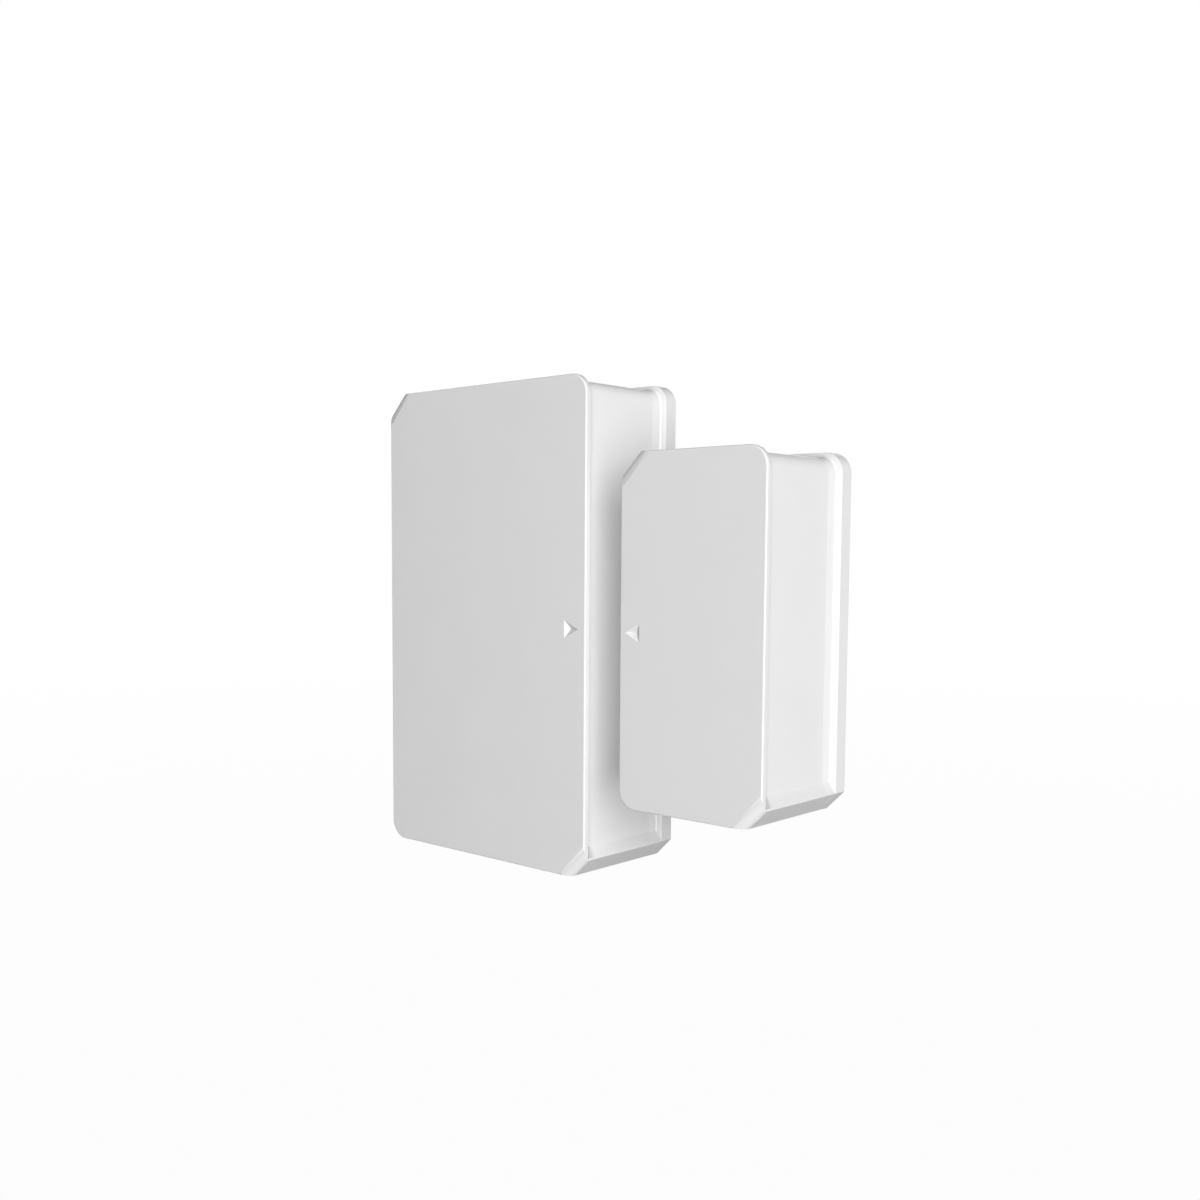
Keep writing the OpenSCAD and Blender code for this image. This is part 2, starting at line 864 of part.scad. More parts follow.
module chip_resistors() {
    places = [
        [1.5, 5.6], [1.5, 7.6], [1.5, 9.6], [12.1, 3.4], [12.1, 5.4], [12.3, 12], [12.3, 14],
        [12.3, 16], [1.4, -10.8], [12, -7.6], [-13.6, 20], [-3.4, 19.4], [-1.4, 19.4]
    ];
    color("black")
        on_wall()
            for (place = places)
                at_place(place, board_front + 0.02)
                    translate([-0.6, -0.9, 0])
                        cube([1.2, 1.8, 0.55]);
}

module status_led() {
    color("white")
        on_wall()
            at_place(led_place, board_front + 0.02) {
                translate([-1.5, -1.75, 0])
                    cube([3, 3.5, 1.3]);
                translate([0, 0, 1.2])
                    cylinder(h = 0.7, d1 = 2.4, d2 = 1.8);
            }
}

module pairing_switch() {
    pit = button_travel + 0.1;
    color("black")
        on_wall()
            at_place(switch_place, board_front + 0.02)
                difference() {
                    union() {
                        translate([-switch_w / 2, -switch_w / 2, 0])
                            cube([switch_w, switch_w, switch_h]);
                        for (sx = [-1, 1], sy = [-1, 1])
                            translate([sx * 2.25 - 0.35, sy * (switch_w / 2 + 0.4) - 0.5, 0])
                                cube([0.7, 1, 0.3]);
                    }
                    translate([0, 0, switch_h - pit - 0.9])
                        cylinder(h = switch_h, r = button_d / 2 + running_gap);
                }
}

module pairing_button() {
    floor_gap = button_travel + 0.05;
    color("ivory")
        on_wall()
            at_place(switch_place, board_front + 0.02 + switch_h - button_travel - 1 + floor_gap)
                cylinder(h = button_out + 1 + button_travel - floor_gap, d = button_d);
}

// ---------------------------------------------------------------- tamper contact

module tamper_switch() {
    color("dimgray")
        on_wall()
            at_place(tamper_place, board_back - tamper_body_h - 0.02) {
                translate([-tamper_body_w / 2, -tamper_body_w / 2, 0])
                    cube([tamper_body_w, tamper_body_w, tamper_body_h]);
                translate([0, 0, -tamper_nub_h + 0.02])
                    cylinder(h = tamper_nub_h, d = tamper_nub_d);
            }
}

module tamper_plunger() {
    color("gray")
        on_wall()
            at_place(tamper_place) {
                cylinder(h = flange_low + 0.1, d = plunger_d);
                translate([0, 0, flange_low])
                    cylinder(h = flange_t, d = flange_d);
            }
}

module tamper_spring() {
    color("silver")
        on_wall()
            at_place(tamper_place, flange_top + 0.02)
                coil_spring(2.8, 2.8, board_back - flange_top - 0.06, 4, 0.15);
}

module sensor_adhesive_pad() {
    color("lightgray")
        on_wall()
            linear_extrude(pad_t - 0.02)
                pad_outline(sensor_pad);
}

// ---------------------------------------------------------------- magnet unit

module magnet_base() {
    color("whitesmoke")
        on_wall(magnet_x)
            difference() {
                union() {
                    shell_base(magnet_w, magnet_h, magnet_lug_y);
                    for (s = [-1, 1])
                        magnet_saddle(s * saddle_y);
                    for (s = [-1, 1])
                        magnet_stop(s);
                }
                wall_holes(magnet_hole_x, magnet_hole_gap);
                translate([0, 0, -over])
                    linear_extrude(pad_t + over)
                        pad_outline(magnet_pad, pad_gap);
            }
}

// A U-shaped saddle that the bar magnet drops into
module magnet_saddle(y) {
    outer_w = bar_w + 2 * (fit_gap + cheek_t);
    translate([bar_x, y, base_t - over])
        difference() {
            translate([-outer_w / 2, -saddle_h / 2, 0])
                cube([outer_w, saddle_h, bar_low - base_t + over + bar_t * 0.7]);
            translate([-bar_w / 2 - fit_gap, -saddle_h, bar_low - base_t + over])
                cube([bar_w + 2 * fit_gap, 2 * saddle_h, bar_t]);
        }
}

// End stop for the bar magnet
module magnet_stop(side) {
    translate([bar_x - 2, side * (bar_h / 2 + fit_gap + 0.5) - 0.5, base_t - over])
        cube([4, 1, bar_low - base_t + over + bar_t * 0.5]);
}

module magnet_cover() {
    rib_low = bar_low + bar_t + foam_t;
    color("white")
        on_wall(magnet_x)
            difference() {
                union() {
                    shell_cover(magnet_w, magnet_h, magnet_lug_y);
                    for (s = [-1, 0, 1])
                        translate([bar_x - bar_w / 2 + 0.2, s * 11 - 0.6, rib_low])
                            cube([bar_w, 1.2, inside_d - rib_low + over]);
                }
                arrow_pit(-magnet_w / 2 + magnet_arrow_in, -1);
            }
}

module bar_magnet() {
    edge = 0.4;
    color("dimgray")
        on_wall(magnet_x)
            translate([bar_x, bar_h / 2, bar_low])
                rotate([90, 0, 0])
                    linear_extrude(bar_h)
                        polygon([
                            [-bar_w / 2 + edge, 0], [bar_w / 2 - edge, 0], [bar_w / 2, edge],
                            [bar_w / 2, bar_t - edge], [bar_w / 2 - edge, bar_t],
                            [-bar_w / 2 + edge, bar_t], [-bar_w / 2, bar_t - edge], [-bar_w / 2, edge]
                        ]);
}

module magnet_foam() {
    color("darkgray")
        on_wall(magnet_x)
            translate([bar_x - bar_w / 2 + 0.3, -13, bar_low + bar_t + 0.02])
                cube([bar_w - 0.6, 26, foam_t - 0.04]);
}

module magnet_adhesive_pad() {
    color("lightgray")
        on_wall(magnet_x)
            linear_extrude(pad_t - 0.02)
                pad_outline(magnet_pad);
}

sensor_base();
sensor_cover();
light_guide();
circuit_board();
board_screws();
battery_holder();
battery_cell();
battery_spring();
battery_negative_contact();
battery_positive_contact();
reed_glass();
reed_lead_upper();
reed_lead_lower();
radio_board();
radio_shield();
antenna_wire();
controller_chip();
clock_crystal();
storage_capacitor();
chip_resistors();
status_led();
pairing_switch();
pairing_button();
tamper_switch();
tamper_plunger();
tamper_spring();
sensor_adhesive_pad();
magnet_base();
magnet_cover();
bar_magnet();
magnet_foam();
magnet_adhesive_pad();
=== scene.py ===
"""Looks for a door contact sensor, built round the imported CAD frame.

Meshes are drawn in wall coordinates, in millimetres: x to the right, y up, and d straight out from
the wall towards the front. The matrix WALL turns them into the frame's metres.
"""

import json
import math
from collections import namedtuple

import bmesh
import bpy
from mathutils import Matrix, Vector


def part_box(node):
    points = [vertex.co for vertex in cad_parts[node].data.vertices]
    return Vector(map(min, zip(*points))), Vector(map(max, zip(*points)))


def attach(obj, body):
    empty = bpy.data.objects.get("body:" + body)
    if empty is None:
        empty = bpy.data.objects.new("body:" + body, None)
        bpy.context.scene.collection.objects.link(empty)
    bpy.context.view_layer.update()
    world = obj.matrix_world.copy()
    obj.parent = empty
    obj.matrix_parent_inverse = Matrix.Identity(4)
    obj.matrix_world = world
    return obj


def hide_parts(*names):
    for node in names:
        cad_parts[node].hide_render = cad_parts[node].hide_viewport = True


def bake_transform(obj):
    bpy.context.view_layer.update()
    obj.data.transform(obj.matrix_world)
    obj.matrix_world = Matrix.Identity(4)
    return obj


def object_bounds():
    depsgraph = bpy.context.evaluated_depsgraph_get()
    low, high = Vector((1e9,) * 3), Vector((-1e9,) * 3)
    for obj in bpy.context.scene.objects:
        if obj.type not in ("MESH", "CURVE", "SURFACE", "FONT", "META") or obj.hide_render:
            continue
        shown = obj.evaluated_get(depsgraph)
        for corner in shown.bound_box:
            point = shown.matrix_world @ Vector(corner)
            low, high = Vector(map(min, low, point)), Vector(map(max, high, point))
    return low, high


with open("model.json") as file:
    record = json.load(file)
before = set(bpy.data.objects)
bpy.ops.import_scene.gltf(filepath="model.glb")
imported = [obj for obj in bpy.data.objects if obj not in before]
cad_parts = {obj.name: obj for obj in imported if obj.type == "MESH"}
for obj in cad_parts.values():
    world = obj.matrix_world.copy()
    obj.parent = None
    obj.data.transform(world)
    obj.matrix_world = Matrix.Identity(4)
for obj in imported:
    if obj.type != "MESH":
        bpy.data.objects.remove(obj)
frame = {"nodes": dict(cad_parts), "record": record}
cad_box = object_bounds()

MM = 0.001
WALL = Matrix(((MM, 0, 0, 0), (0, 0, -MM, 0), (0, MM, 0, 0), (0, 0, 0, 1)))
Box = namedtuple("Box", "x0 x1 y0 y1 d0 d1")
Boss = namedtuple("Boss", "x y r bore_r low bore_end")

# -------- sizes, in millimetres

# Outline and side step shared by both units
CORNER_CUT = 2.6
FACET_CUT = 4.75
FACET_DROP = 1.2
FACET_BLEND = 0.15
CORNER_R = 2.8
CUT_EDGE_R = 0.22
STEP = 0.8
STEP_RUN_OUT = 1.6
STEP_LAND = 0.3
STEP_CORNER_R = 1.3
RIM_T = 1.0
RIM_NECK = 0.45
RIM_NECK_R = 0.4
FRONT_EDGE_R = 0.22

# Flare at the foot of a cover's walls: a lower flare, a nearly flat land and an upper flare
FOOT_FLARE = 0.3
FOOT_FLARE_H = 1.9
UPPER_FLARE = 0.15
LAND_LOW = 0.3
LAND_HIGH = 0.62
LAND_LEAN = 0.05

# Inside of a cover
FRONT_WALL = 1.6
SIDE_WALL = 1.5
HOLLOW_R = 0.8
LUG_W = 6.0
LUG_PLAY = 0.25
LUG_POCKET_LOW = 3.85
LUG_POCKET_HIGH = 5.85
LUG_POCKET_IN = 0.75
PRY_W = 7.0
PRY_H = 0.9
PRY_IN = 1.2
PIN_MARK_R = 1.5
PIN_MARK_DEPTH = 0.08

# Alignment arrows
ARROW_W = 2.5
ARROW_H = 2.6
ARROW_DEPTH = 0.55
SENSOR_ARROW_IN = 1.4
MAGNET_ARROW_IN = 0.85

# Parts on the circuit board
TRACK_T = 0.02
PLATED_T = 0.024
INK_T = 0.012
INK_W = 0.14
LEADS = 8
LEAD_PITCH = 0.8
REED_WIRE_R = 0.3
ANTENNA_R = 0.4
SWITCH_LEG_OUT = 2.25


# -------- places from the frame


def wall_box(node):
    """A CAD node's box in wall coordinates."""
    low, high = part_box(node)
    return Box(low.x / MM, high.x / MM, low.z / MM, high.z / MM, -high.y / MM, -low.y / MM)


def middle(box):
    return (box.x0 + box.x1) / 2, (box.y0 + box.y1) / 2


def island_boxes(node):
    """The wall box of each separate solid of a CAD node."""
    bm = bmesh.new()
    bm.from_mesh(frame["nodes"][node].data)
    bmesh.ops.remove_doubles(bm, verts=bm.verts[:], dist=1e-6)
    seen = set()
    boxes = []
    for start in bm.verts:
        if start in seen:
            continue
        group = [start]
        seen.add(start)
        for vert in group:
            for edge in vert.link_edges:
                other = edge.other_vert(vert)
                if other not in seen:
                    seen.add(other)
                    group.append(other)
        spans = zip(*((v.co.x / MM, v.co.z / MM, -v.co.y / MM) for v in group))
        boxes.append(Box(*(end(values) for values in spans for end in (min, max))))
    bm.free()
    return sorted(boxes)


# -------- mesh tools


def loft(bm, rings, index=0):
    """Joins closed loops of equal length and caps the ends. Loops run anticlockwise seen from the
    high end."""
    rows = [[bm.verts.new(point) for point in ring] for ring in rings]
    count = len(rows[0])
    made = []
    for low, high in zip(rows, rows[1:]):
        for k in range(count):
            j = (k + 1) % count
            made.append(bm.faces.new((low[k], low[j], high[j], high[k])))
    made.append(bm.faces.new(rows[0][::-1]))
    made.append(bm.faces.new(rows[-1]))
    for face in made:
        face.material_index = index


def join(bm, part, matrix=None):
    """Moves the mesh of part into bm and frees part."""
    if matrix is not None:
        bmesh.ops.transform(part, matrix=matrix, verts=part.verts[:])
    mesh = bpy.data.meshes.new("part")
    part.to_mesh(mesh)
    part.free()
    bm.from_mesh(mesh)
    bpy.data.meshes.remove(mesh)


def add_box(bm, box, round_edge=0.0, index=0, segments=2):
    part = bmesh.new()
    corners = [(box.x0, box.y0), (box.x1, box.y0), (box.x1, box.y1), (box.x0, box.y1)]
    loft(part, [[(x, y, d) for x, y in corners] for d in (box.d0, box.d1)], index)
    if round_edge:
        shape = {"profile": 0.5, "affect": "EDGES", "clamp_overlap": True, "material": -1}
        bmesh.ops.bevel(part, geom=part.edges[:], offset=round_edge, segments=segments, **shape)
    join(bm, part)


def centred_box(x, y, w, h, d0, d1):
    return Box(x - w / 2, x + w / 2, y - h / 2, y + h / 2, d0, d1)


def prism(bm, outline, d0, d1, index=0):
    loft(bm, [[(x, y, d) for x, y in outline] for d in (d0, d1)], index)


def at(x, y, d=0):
    return Matrix.Translation((x, y, d))


def quarter(steps):
    """Angles from nothing to a quarter turn."""
    return [math.pi / 2 * k / steps for k in range(steps + 1)]


def full_turn(steps):
    """Angles all the way round."""
    return [2 * math.pi * k / steps for k in range(steps)]


def lathe(bm, profile, matrix, segments, index=0):
    """Turns a profile of (radius, height) about the local d axis, lowest height first."""
    part = bmesh.new()
    rows = []
    for radius, height in profile:
        if radius < 1e-6:
            rows.append([part.verts.new((0, 0, height))])
        else:
            turn = full_turn(segments)
            ring = [(radius * math.cos(a), radius * math.sin(a), height) for a in turn]
            rows.append([part.verts.new(point) for point in ring])
    closed = len(rows[0]) > 1 and profile[0] == profile[-1]
    if closed:
        for vert in rows[-1]:
            part.verts.remove(vert)
        rows[-1] = rows[0]
    for low, high in zip(rows, rows[1:]):
        for k in range(segments):
            j = (k + 1) % segments
            if len(low) == 1:
                part.faces.new((low[0], high[j], high[k]))
            elif len(high) == 1:
                part.faces.new((low[k], low[j], high[0]))
            else:
                part.faces.new((low[k], low[j], high[j], high[k]))
    if not closed and len(rows[0]) > 1:
        part.faces.new(rows[0][::-1])
    if not closed and len(rows[-1]) > 1:
        part.faces.new(rows[-1])
    for face in part.faces:
        face.material_index = index
    join(bm, part, matrix)


def cylinder(bm, x, y, d0, d1, radius, segments=48, index=0):
    lathe(bm, [(radius, d0), (radius, d1)], at(x, y), segments, index)


def rounded_rod(r, low, high, edge):
    """Lathe profile of a rod with rounded ends."""
    inner = r - edge
    bottom = [(inner + edge * math.sin(a), low + edge - edge * math.cos(a)) for a in quarter(3)]
    top = [(inner + edge * math.cos(a), high - edge + edge * math.sin(a)) for a in quarter(3)]
    return [(0, low)] + bottom + top + [(0, high)]


def tube(bm, points, radius, sides, index=0):
    """A round wire along a line of points, closed at both ends."""
    points = [Vector(p) for p in points]
    normal = None
    rings = []
    for k, point in enumerate(points):
        before = points[max(k - 1, 0)]
        after = points[min(k + 1, len(points) - 1)]
        tangent = (after - before).normalized()
        if normal is None:
            normal = tangent.orthogonal().normalized()
        normal = (normal - tangent * normal.dot(tangent)).normalized()
        side = tangent.cross(normal)
        spokes = [normal * math.cos(a) + side * math.sin(a) for a in full_turn(sides)]
        rings.append([point + spoke * radius for spoke in spokes])
    loft(bm, rings, index)


def turn_curve(start, corner, end, steps):
    """Points on the smooth curve from start to end that is pulled towards corner."""
    shares = [k / steps for k in range(steps + 1)]
    return [start * (1 - t) ** 2 + corner * 2 * t * (1 - t) + end * t**2 for t in shares]


def bent_line(corners, radius):
    """A line of points through corners, with each corner rounded."""
    corners = [Vector(c) for c in corners]
    line = [corners[0]]
    for before, corner, after in zip(corners, corners[1:], corners[2:]):
        start = corner + (before - corner).normalized() * radius
        end = corner + (after - corner).normalized() * radius
        line += turn_curve(start, corner, end, 6)
    return line + [corners[-1]]


def coil_line(r_low, r_high, low, high, turns, dead_turns=0.75):
    """Points along a compression spring about the local d axis, with closed end turns."""
    per_turn = 28
    total = int(turns * per_turn)
    line = []
    for k in range(total + 1):
        turn = k / per_turn
        share = min(max((turn - dead_turns) / (turns - 2 * dead_turns), 0), 1)
        radius = r_low + (r_high - r_low) * k / total
        a = 2 * math.pi * turn
        line.append((radius * math.cos(a), radius * math.sin(a), low + (high - low) * share))
    return line


def ribbon(bm, points, width, d0, d1, index):
    """A flat strip with mitred corners along a line of (x, y) points."""
    points = [Vector(p) for p in points]
    left, right = [], []
    for k, point in enumerate(points):
        before = (point - points[k - 1]).normalized() if k else None
        after = (points[k + 1] - point).normalized() if k < len(points) - 1 else None
        along = ((before or after) + (after or before)).normalized()
        across = Vector((-along.y, along.x))
        reach = width / 2 / max(along.dot(after or before), 0.4)
        left.append(point + across * reach)
        right.append(point - across * reach)
    prism(bm, [tuple(p) for p in right + left[::-1]], d0, d1, index)


def scratch_object(bm):
    mesh = bpy.data.meshes.new("scratch")
    bm.to_mesh(mesh)
    obj = bpy.data.objects.new("scratch", mesh)
    bpy.context.scene.collection.objects.link(obj)
    return obj


def carve(bm, cutter):
    """Cuts cutter out of bm and frees cutter. Neither may have solids that overlap."""
    target = scratch_object(bm)
    tool = scratch_object(cutter)
    cutter.free()
    modifier = target.modifiers.new("boolean", "BOOLEAN")
    modifier.object = tool
    modifier.operation = "DIFFERENCE"
    modifier.solver = "EXACT"
    graph = bpy.context.evaluated_depsgraph_get()
    result = bpy.data.meshes.new_from_object(target.evaluated_get(graph))
    bm.clear()
    bm.from_mesh(result)
    for obj in (target, tool):
        mesh = obj.data
        bpy.data.objects.remove(obj)
        bpy.data.meshes.remove(mesh)
    bpy.data.meshes.remove(result)


def drill(bm, x, y, d0, d1, radius, segments=48):
    bore = bmesh.new()
    cylinder(bore, x, y, d0, d1, radius, segments)
    carve(bm, bore)


def piece(name, bm, materials, node=None, body="sensor_body", sharp=32.0, weighted=True):
    """Turns a mesh in wall millimetres into a finished piece that stands for a CAD node.

    It rides on a body, unless that is None. Edges sharper than sharp degrees stay crisp, and
    weighted keeps flat faces flat where they meet rounded edges.
    """
    bmesh.ops.transform(bm, matrix=WALL, verts=bm.verts[:])
    mesh = bpy.data.meshes.new(name)
    bm.to_mesh(mesh)
    bm.free()
    for material in materials:
        mesh.materials.append(material)
    mesh.shade_smooth()
    mesh.set_sharp_from_angle(angle=math.radians(sharp))
    obj = bpy.data.objects.new(name, mesh)
    bpy.context.scene.collection.objects.link(obj)
    if weighted:
        modifier = obj.modifiers.new("even_shading", "WEIGHTED_NORMAL")
        modifier.keep_sharp = True
        modifier.weight = 100
    if body is not None:
        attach(obj, body)
    if node is not None:
        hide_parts(node)
    return obj


# -------- materials


class Nodes:
    """A short way to wire a node material."""

    def __init__(self, name):
        self.material = bpy.data.materials.new(name)
        self.material.use_nodes = True
        self.tree = self.material.node_tree
        self.shader = self.tree.nodes["Principled BSDF"]
        self.where = self.tree.nodes.new("ShaderNodeTexCoord").outputs["Object"]

    def add(self, kind, inputs=None, **settings):
        node = self.tree.nodes.new(kind)
        for key, value in settings.items():
            setattr(node, key, value)
        for key, value in (inputs or {}).items():
            self.feed(node.inputs[key], value)
        return node

    def feed(self, socket, value):
        if isinstance(value, bpy.types.NodeSocket):
            self.tree.links.new(value, socket)
        else:
            socket.default_value = value

    def set(self, **values):
        for key, value in values.items():
            self.feed(self.shader.inputs[key.replace("_", " ")], value)

    def noise(self, size_mm, detail=2.0, roughness=0.5, stretch=(1, 1, 1)):
        """Noise whose grains are about size_mm across."""
        scale = tuple(s / (size_mm * MM) for s in stretch)
        mapped = self.add("ShaderNodeMapping", {"Vector": self.where, "Scale": scale})
        grains = {"Scale": 1.0, "Detail": detail, "Roughness": roughness}
        node = self.add("ShaderNodeTexNoise", {"Vector": mapped.outputs[0], **grains})
        return node.outputs["Fac"]

    def span(self, value, low, high, source=(0.3, 0.7)):
        """Maps a noise value to a range."""
        ends = {"From Min": source[0], "From Max": source[1], "To Min": low, "To Max": high}
        return self.add("ShaderNodeMapRange", {"Value": value, **ends}).outputs[0]

    def blend(self, factor, first, second):
        node = self.add("ShaderNodeMix", data_type="RGBA")
        self.feed(node.inputs["Factor"], factor)
        self.feed(node.inputs["A"], first)
        self.feed(node.inputs["B"], second)
        return node.outputs["Result"]

    def bump(self, height, depth_mm, strength, normal=None):
        inputs = {"Height": height, "Distance": depth_mm * MM, "Strength": strength}
        node = self.add("ShaderNodeBump", inputs)
        if normal is not None:
            self.feed(node.inputs["Normal"], normal)
        return node.outputs[0]

    def soft_edge(self, radius_mm):
        """A normal that rounds sharp edges off when shading, or None."""
        if not radius_mm:
            return None
        return self.add("ShaderNodeBevel", {"Radius": radius_mm * MM}, samples=4).outputs[0]

    def facing_out(self):
        """1 on faces that lie flat along the wall, 0 on the edges between them."""
        normal = self.add("ShaderNodeNewGeometry").outputs["True Normal"]
        out = self.add("ShaderNodeSeparateXYZ", {"Vector": normal}).outputs["Y"]
        size = self.add("ShaderNodeMath", {0: out}, operation="ABSOLUTE").outputs[0]
        return self.add("ShaderNodeMath", {0: size, 1: 0.5}, operation="GREATER_THAN").outputs[0]


RECORD_COLOURS = {m["slot"]: m["base_color"] for m in frame["record"]["materials"]}


def slot_colour(slot):
    return RECORD_COLOURS[slot][:3]


def rgba(colour, shade=1.0):
    return tuple(c * shade for c in colour) + (1.0,)


def moulded_plastic(
    name, colour, rough, grain_mm=0.09, grain_depth=0.002, mottle=0.012, edge_mm=0.0
):
    """Spark-eroded moulded plastic: fine grain, faint flow mottling and uneven gloss."""
    n = Nodes(name)
    flow = n.span(n.noise(9.0, 3), 0, 1)
    n.set(Base_Color=n.blend(flow, rgba(colour, 1 - mottle), rgba(colour, 1 + mottle * 0.3)))
    n.set(Roughness=n.span(n.noise(3.0, 4), rough - 0.04, rough + 0.05))
    grain = n.noise(grain_mm, 3, 0.6)
    n.set(Normal=n.bump(grain, grain_depth, 1.0, n.soft_edge(edge_mm)))
    n.set(IOR=1.5)
    return n.material


def metal(
    name, colour, rough, brush=(1, 1, 1), grain_mm=0.3, grain_depth=0.001, tarnish=0.08, edge_mm=0.0
):
    """Rolled or plated metal: drawn grain, uneven polish and faint tarnish.

    With no colour it takes that of the record's slot of the same name.
    """
    colour = colour or slot_colour(name)
    n = Nodes(name)
    stain = n.span(n.noise(2.5, 3), 0, 1)
    n.set(Metallic=1.0)
    n.set(Base_Color=n.blend(stain, rgba(colour, 1 - tarnish), rgba(colour)))
    n.set(Roughness=n.span(n.noise(0.8, 2), rough - 0.03, rough + 0.05))
    grain = n.noise(grain_mm, 2, 0.5, brush)
    n.set(Normal=n.bump(grain, grain_depth, 0.45, n.soft_edge(edge_mm)))
    return n.material


def solder_mask(name, colour, core=None):
    """Glossy lacquer over laminate: a woven ripple below and small pits on top.

    With a core colour the cut edges of the board show its laminate.
    """
    n = Nodes(name)
    threads = {"Vector": n.where, "Scale": 2600.0, "Distortion": 1.5, "Detail": 1.0}
    weave = n.add("ShaderNodeTexWave", threads, bands_direction="DIAGONAL").outputs["Fac"]
    tone = n.span(n.noise(4.0, 3), 0, 1)
    lacquer = n.blend(tone, rgba(colour, 0.88), rgba(colour, 1.1))
    if core is not None:
        layers = n.span(n.noise(0.15, 3), 0, 1)
        laminate = n.blend(layers, rgba(core, 0.75), rgba(core))
        lacquer = n.blend(n.facing_out(), laminate, lacquer)
    n.set(Base_Color=lacquer)
    n.set(Roughness=n.span(n.noise(1.0, 3), 0.24, 0.38))
    ripple = n.bump(weave, 0.002, 0.5)
    n.set(Normal=n.bump(n.noise(0.3, 3), 0.002, 0.6, ripple))
    n.set(Coat_Weight=0.3)
    return n.material


def clear(name, colour, rough, ior=1.5, haze_mm=1.0):
    """Clear glass or plastic with a faint tint and a slightly wavy face."""
    n = Nodes(name)
    tone = n.span(n.noise(haze_mm, 3), 0, 1)
    n.set(Base_Color=n.blend(tone, rgba(colour, 0.95), rgba(colour)))
    n.set(Transmission_Weight=1.0, IOR=ior)
    n.set(Roughness=n.span(n.noise(haze_mm / 2, 3), rough, rough + 0.05))
    n.set(Normal=n.bump(n.noise(haze_mm, 2), 0.004, 0.3))
    return n.material


def foam(name, colour, cell_mm):
    """Closed-cell foam: round pits, with painted shade that darkens their floors."""
    n = Nodes(name)
    scale = 1 / (cell_mm * MM)
    pits = n.add("ShaderNodeTexVoronoi", {"Vector": n.where, "Scale": scale}).outputs["Distance"]
    # painted shade: the colour falls to 0.65 towards each pit's floor, where the bump sinks it
    n.set(Base_Color=n.blend(n.span(pits, 0, 1, (0, 0.6)), rgba(colour, 0.65), rgba(colour)))
    n.set(Roughness=n.span(n.noise(1.0), 0.85, 0.95))
    n.set(Normal=n.bump(pits, 0.06, 0.8))
    return n.material


def sleeve(name, colour):
    """Heat-shrunk film: glossy, with fine lengthwise draw lines."""
    n = Nodes(name)
    lines = n.noise(0.5, 4, 0.6, (1, 1, 0.06))
    n.set(Base_Color=n.blend(n.span(lines, 0, 1), rgba(colour, 0.85), rgba(colour, 1.1)))
    n.set(Roughness=n.span(n.noise(2.0, 3), 0.2, 0.34))
    n.set(Normal=n.bump(lines, 0.006, 0.6))
    n.set(Coat_Weight=0.4)
    return n.material


COVER = moulded_plastic("cover_abs", (0.8, 0.8, 0.805), 0.42)
BASE = moulded_plastic("base_abs", (0.79, 0.79, 0.795), 0.45, edge_mm=0.05)
GUIDE = clear("guide_acrylic", (0.93, 0.97, 1.0), 0.05)
LAMINATE = (0.5, 0.45, 0.22)
MASK = solder_mask("board_mask", slot_colour("board_laminate"), LAMINATE)
MASKED_COPPER = solder_mask("masked_copper", (0.07, 0.34, 0.13))
RADIO_MASK = solder_mask("radio_mask", slot_colour("radio_laminate"), LAMINATE)
TIN = metal("tinned_pad", (0.78, 0.78, 0.76), 0.28, grain_mm=0.25, grain_depth=0.004)
SOLDER = metal("solder", (0.7, 0.7, 0.69), 0.3, grain_mm=0.4, grain_depth=0.01)
INK = moulded_plastic("board_ink", (0.82, 0.82, 0.8), 0.6, 0.1, 0.004, 0.08)
STEEL = metal("screw_steel", None, 0.3, grain_mm=0.4, edge_mm=0.06)
NICKEL = metal("contact_nickel", None, 0.24, (0.15, 1, 1), 0.2, edge_mm=0.06)
SHIELD = metal("shield_tin", None, 0.36, (0.08, 1, 1), 0.12, 0.0015, 0.05, edge_mm=0.12)
REED_METAL = metal("reed_metal", None, 0.3, grain_mm=0.2)
COPPER = metal("antenna_copper", None, 0.3, (1, 1, 0.1), 0.2)
CAN = metal("capacitor_can", None, 0.3, (1, 0.1, 1), 0.2)
MAGNET = metal("magnet_nickel", None, 0.34, (1, 1, 0.2), 0.25, edge_mm=0.25)
HOLDER = moulded_plastic("holder_nylon", (0.022, 0.022, 0.025), 0.5, 0.15, 0.006, 0.3, 0.12)
RESIN = moulded_plastic("chip_resin", (0.03, 0.03, 0.032), 0.6, 0.08, 0.004, 0.3)
SWITCH = moulded_plastic("switch_body", (0.028, 0.028, 0.03), 0.5, 0.12, 0.004, 0.3)
BUTTON = moulded_plastic("button_acetal", slot_colour("button_plastic"), 0.4, 0.12, 0.003, 0.05)
CERAMIC = moulded_plastic("resistor_glaze", (0.03, 0.03, 0.035), 0.3, 0.1, 0.003, 0.3)
BROWN_CERAMIC = moulded_plastic("capacitor_ceramic", (0.36, 0.24, 0.13), 0.5, 0.1, 0.003, 0.2)
LED_BODY = moulded_plastic("led_body", (0.85, 0.84, 0.8), 0.35, 0.1, 0.002, 0.04)
PHOSPHOR = moulded_plastic("led_phosphor", (0.82, 0.72, 0.18), 0.25, 0.1, 0.004, 0.1)
REED_GLASS = clear("reed_glass", (0.8, 0.95, 0.86), 0.02, 1.48, 2.0)
WRAP = sleeve("cell_wrap", slot_colour("cell_wrap"))
WRAP_BAND = sleeve("cell_band", (0.72, 0.73, 0.74))
PAD_FOAM = foam("adhesive_foam", (0.78, 0.78, 0.76), 0.2)
DARK_FOAM = foam("retaining_foam", (0.07, 0.07, 0.075), 0.3)


# -------- outer covers


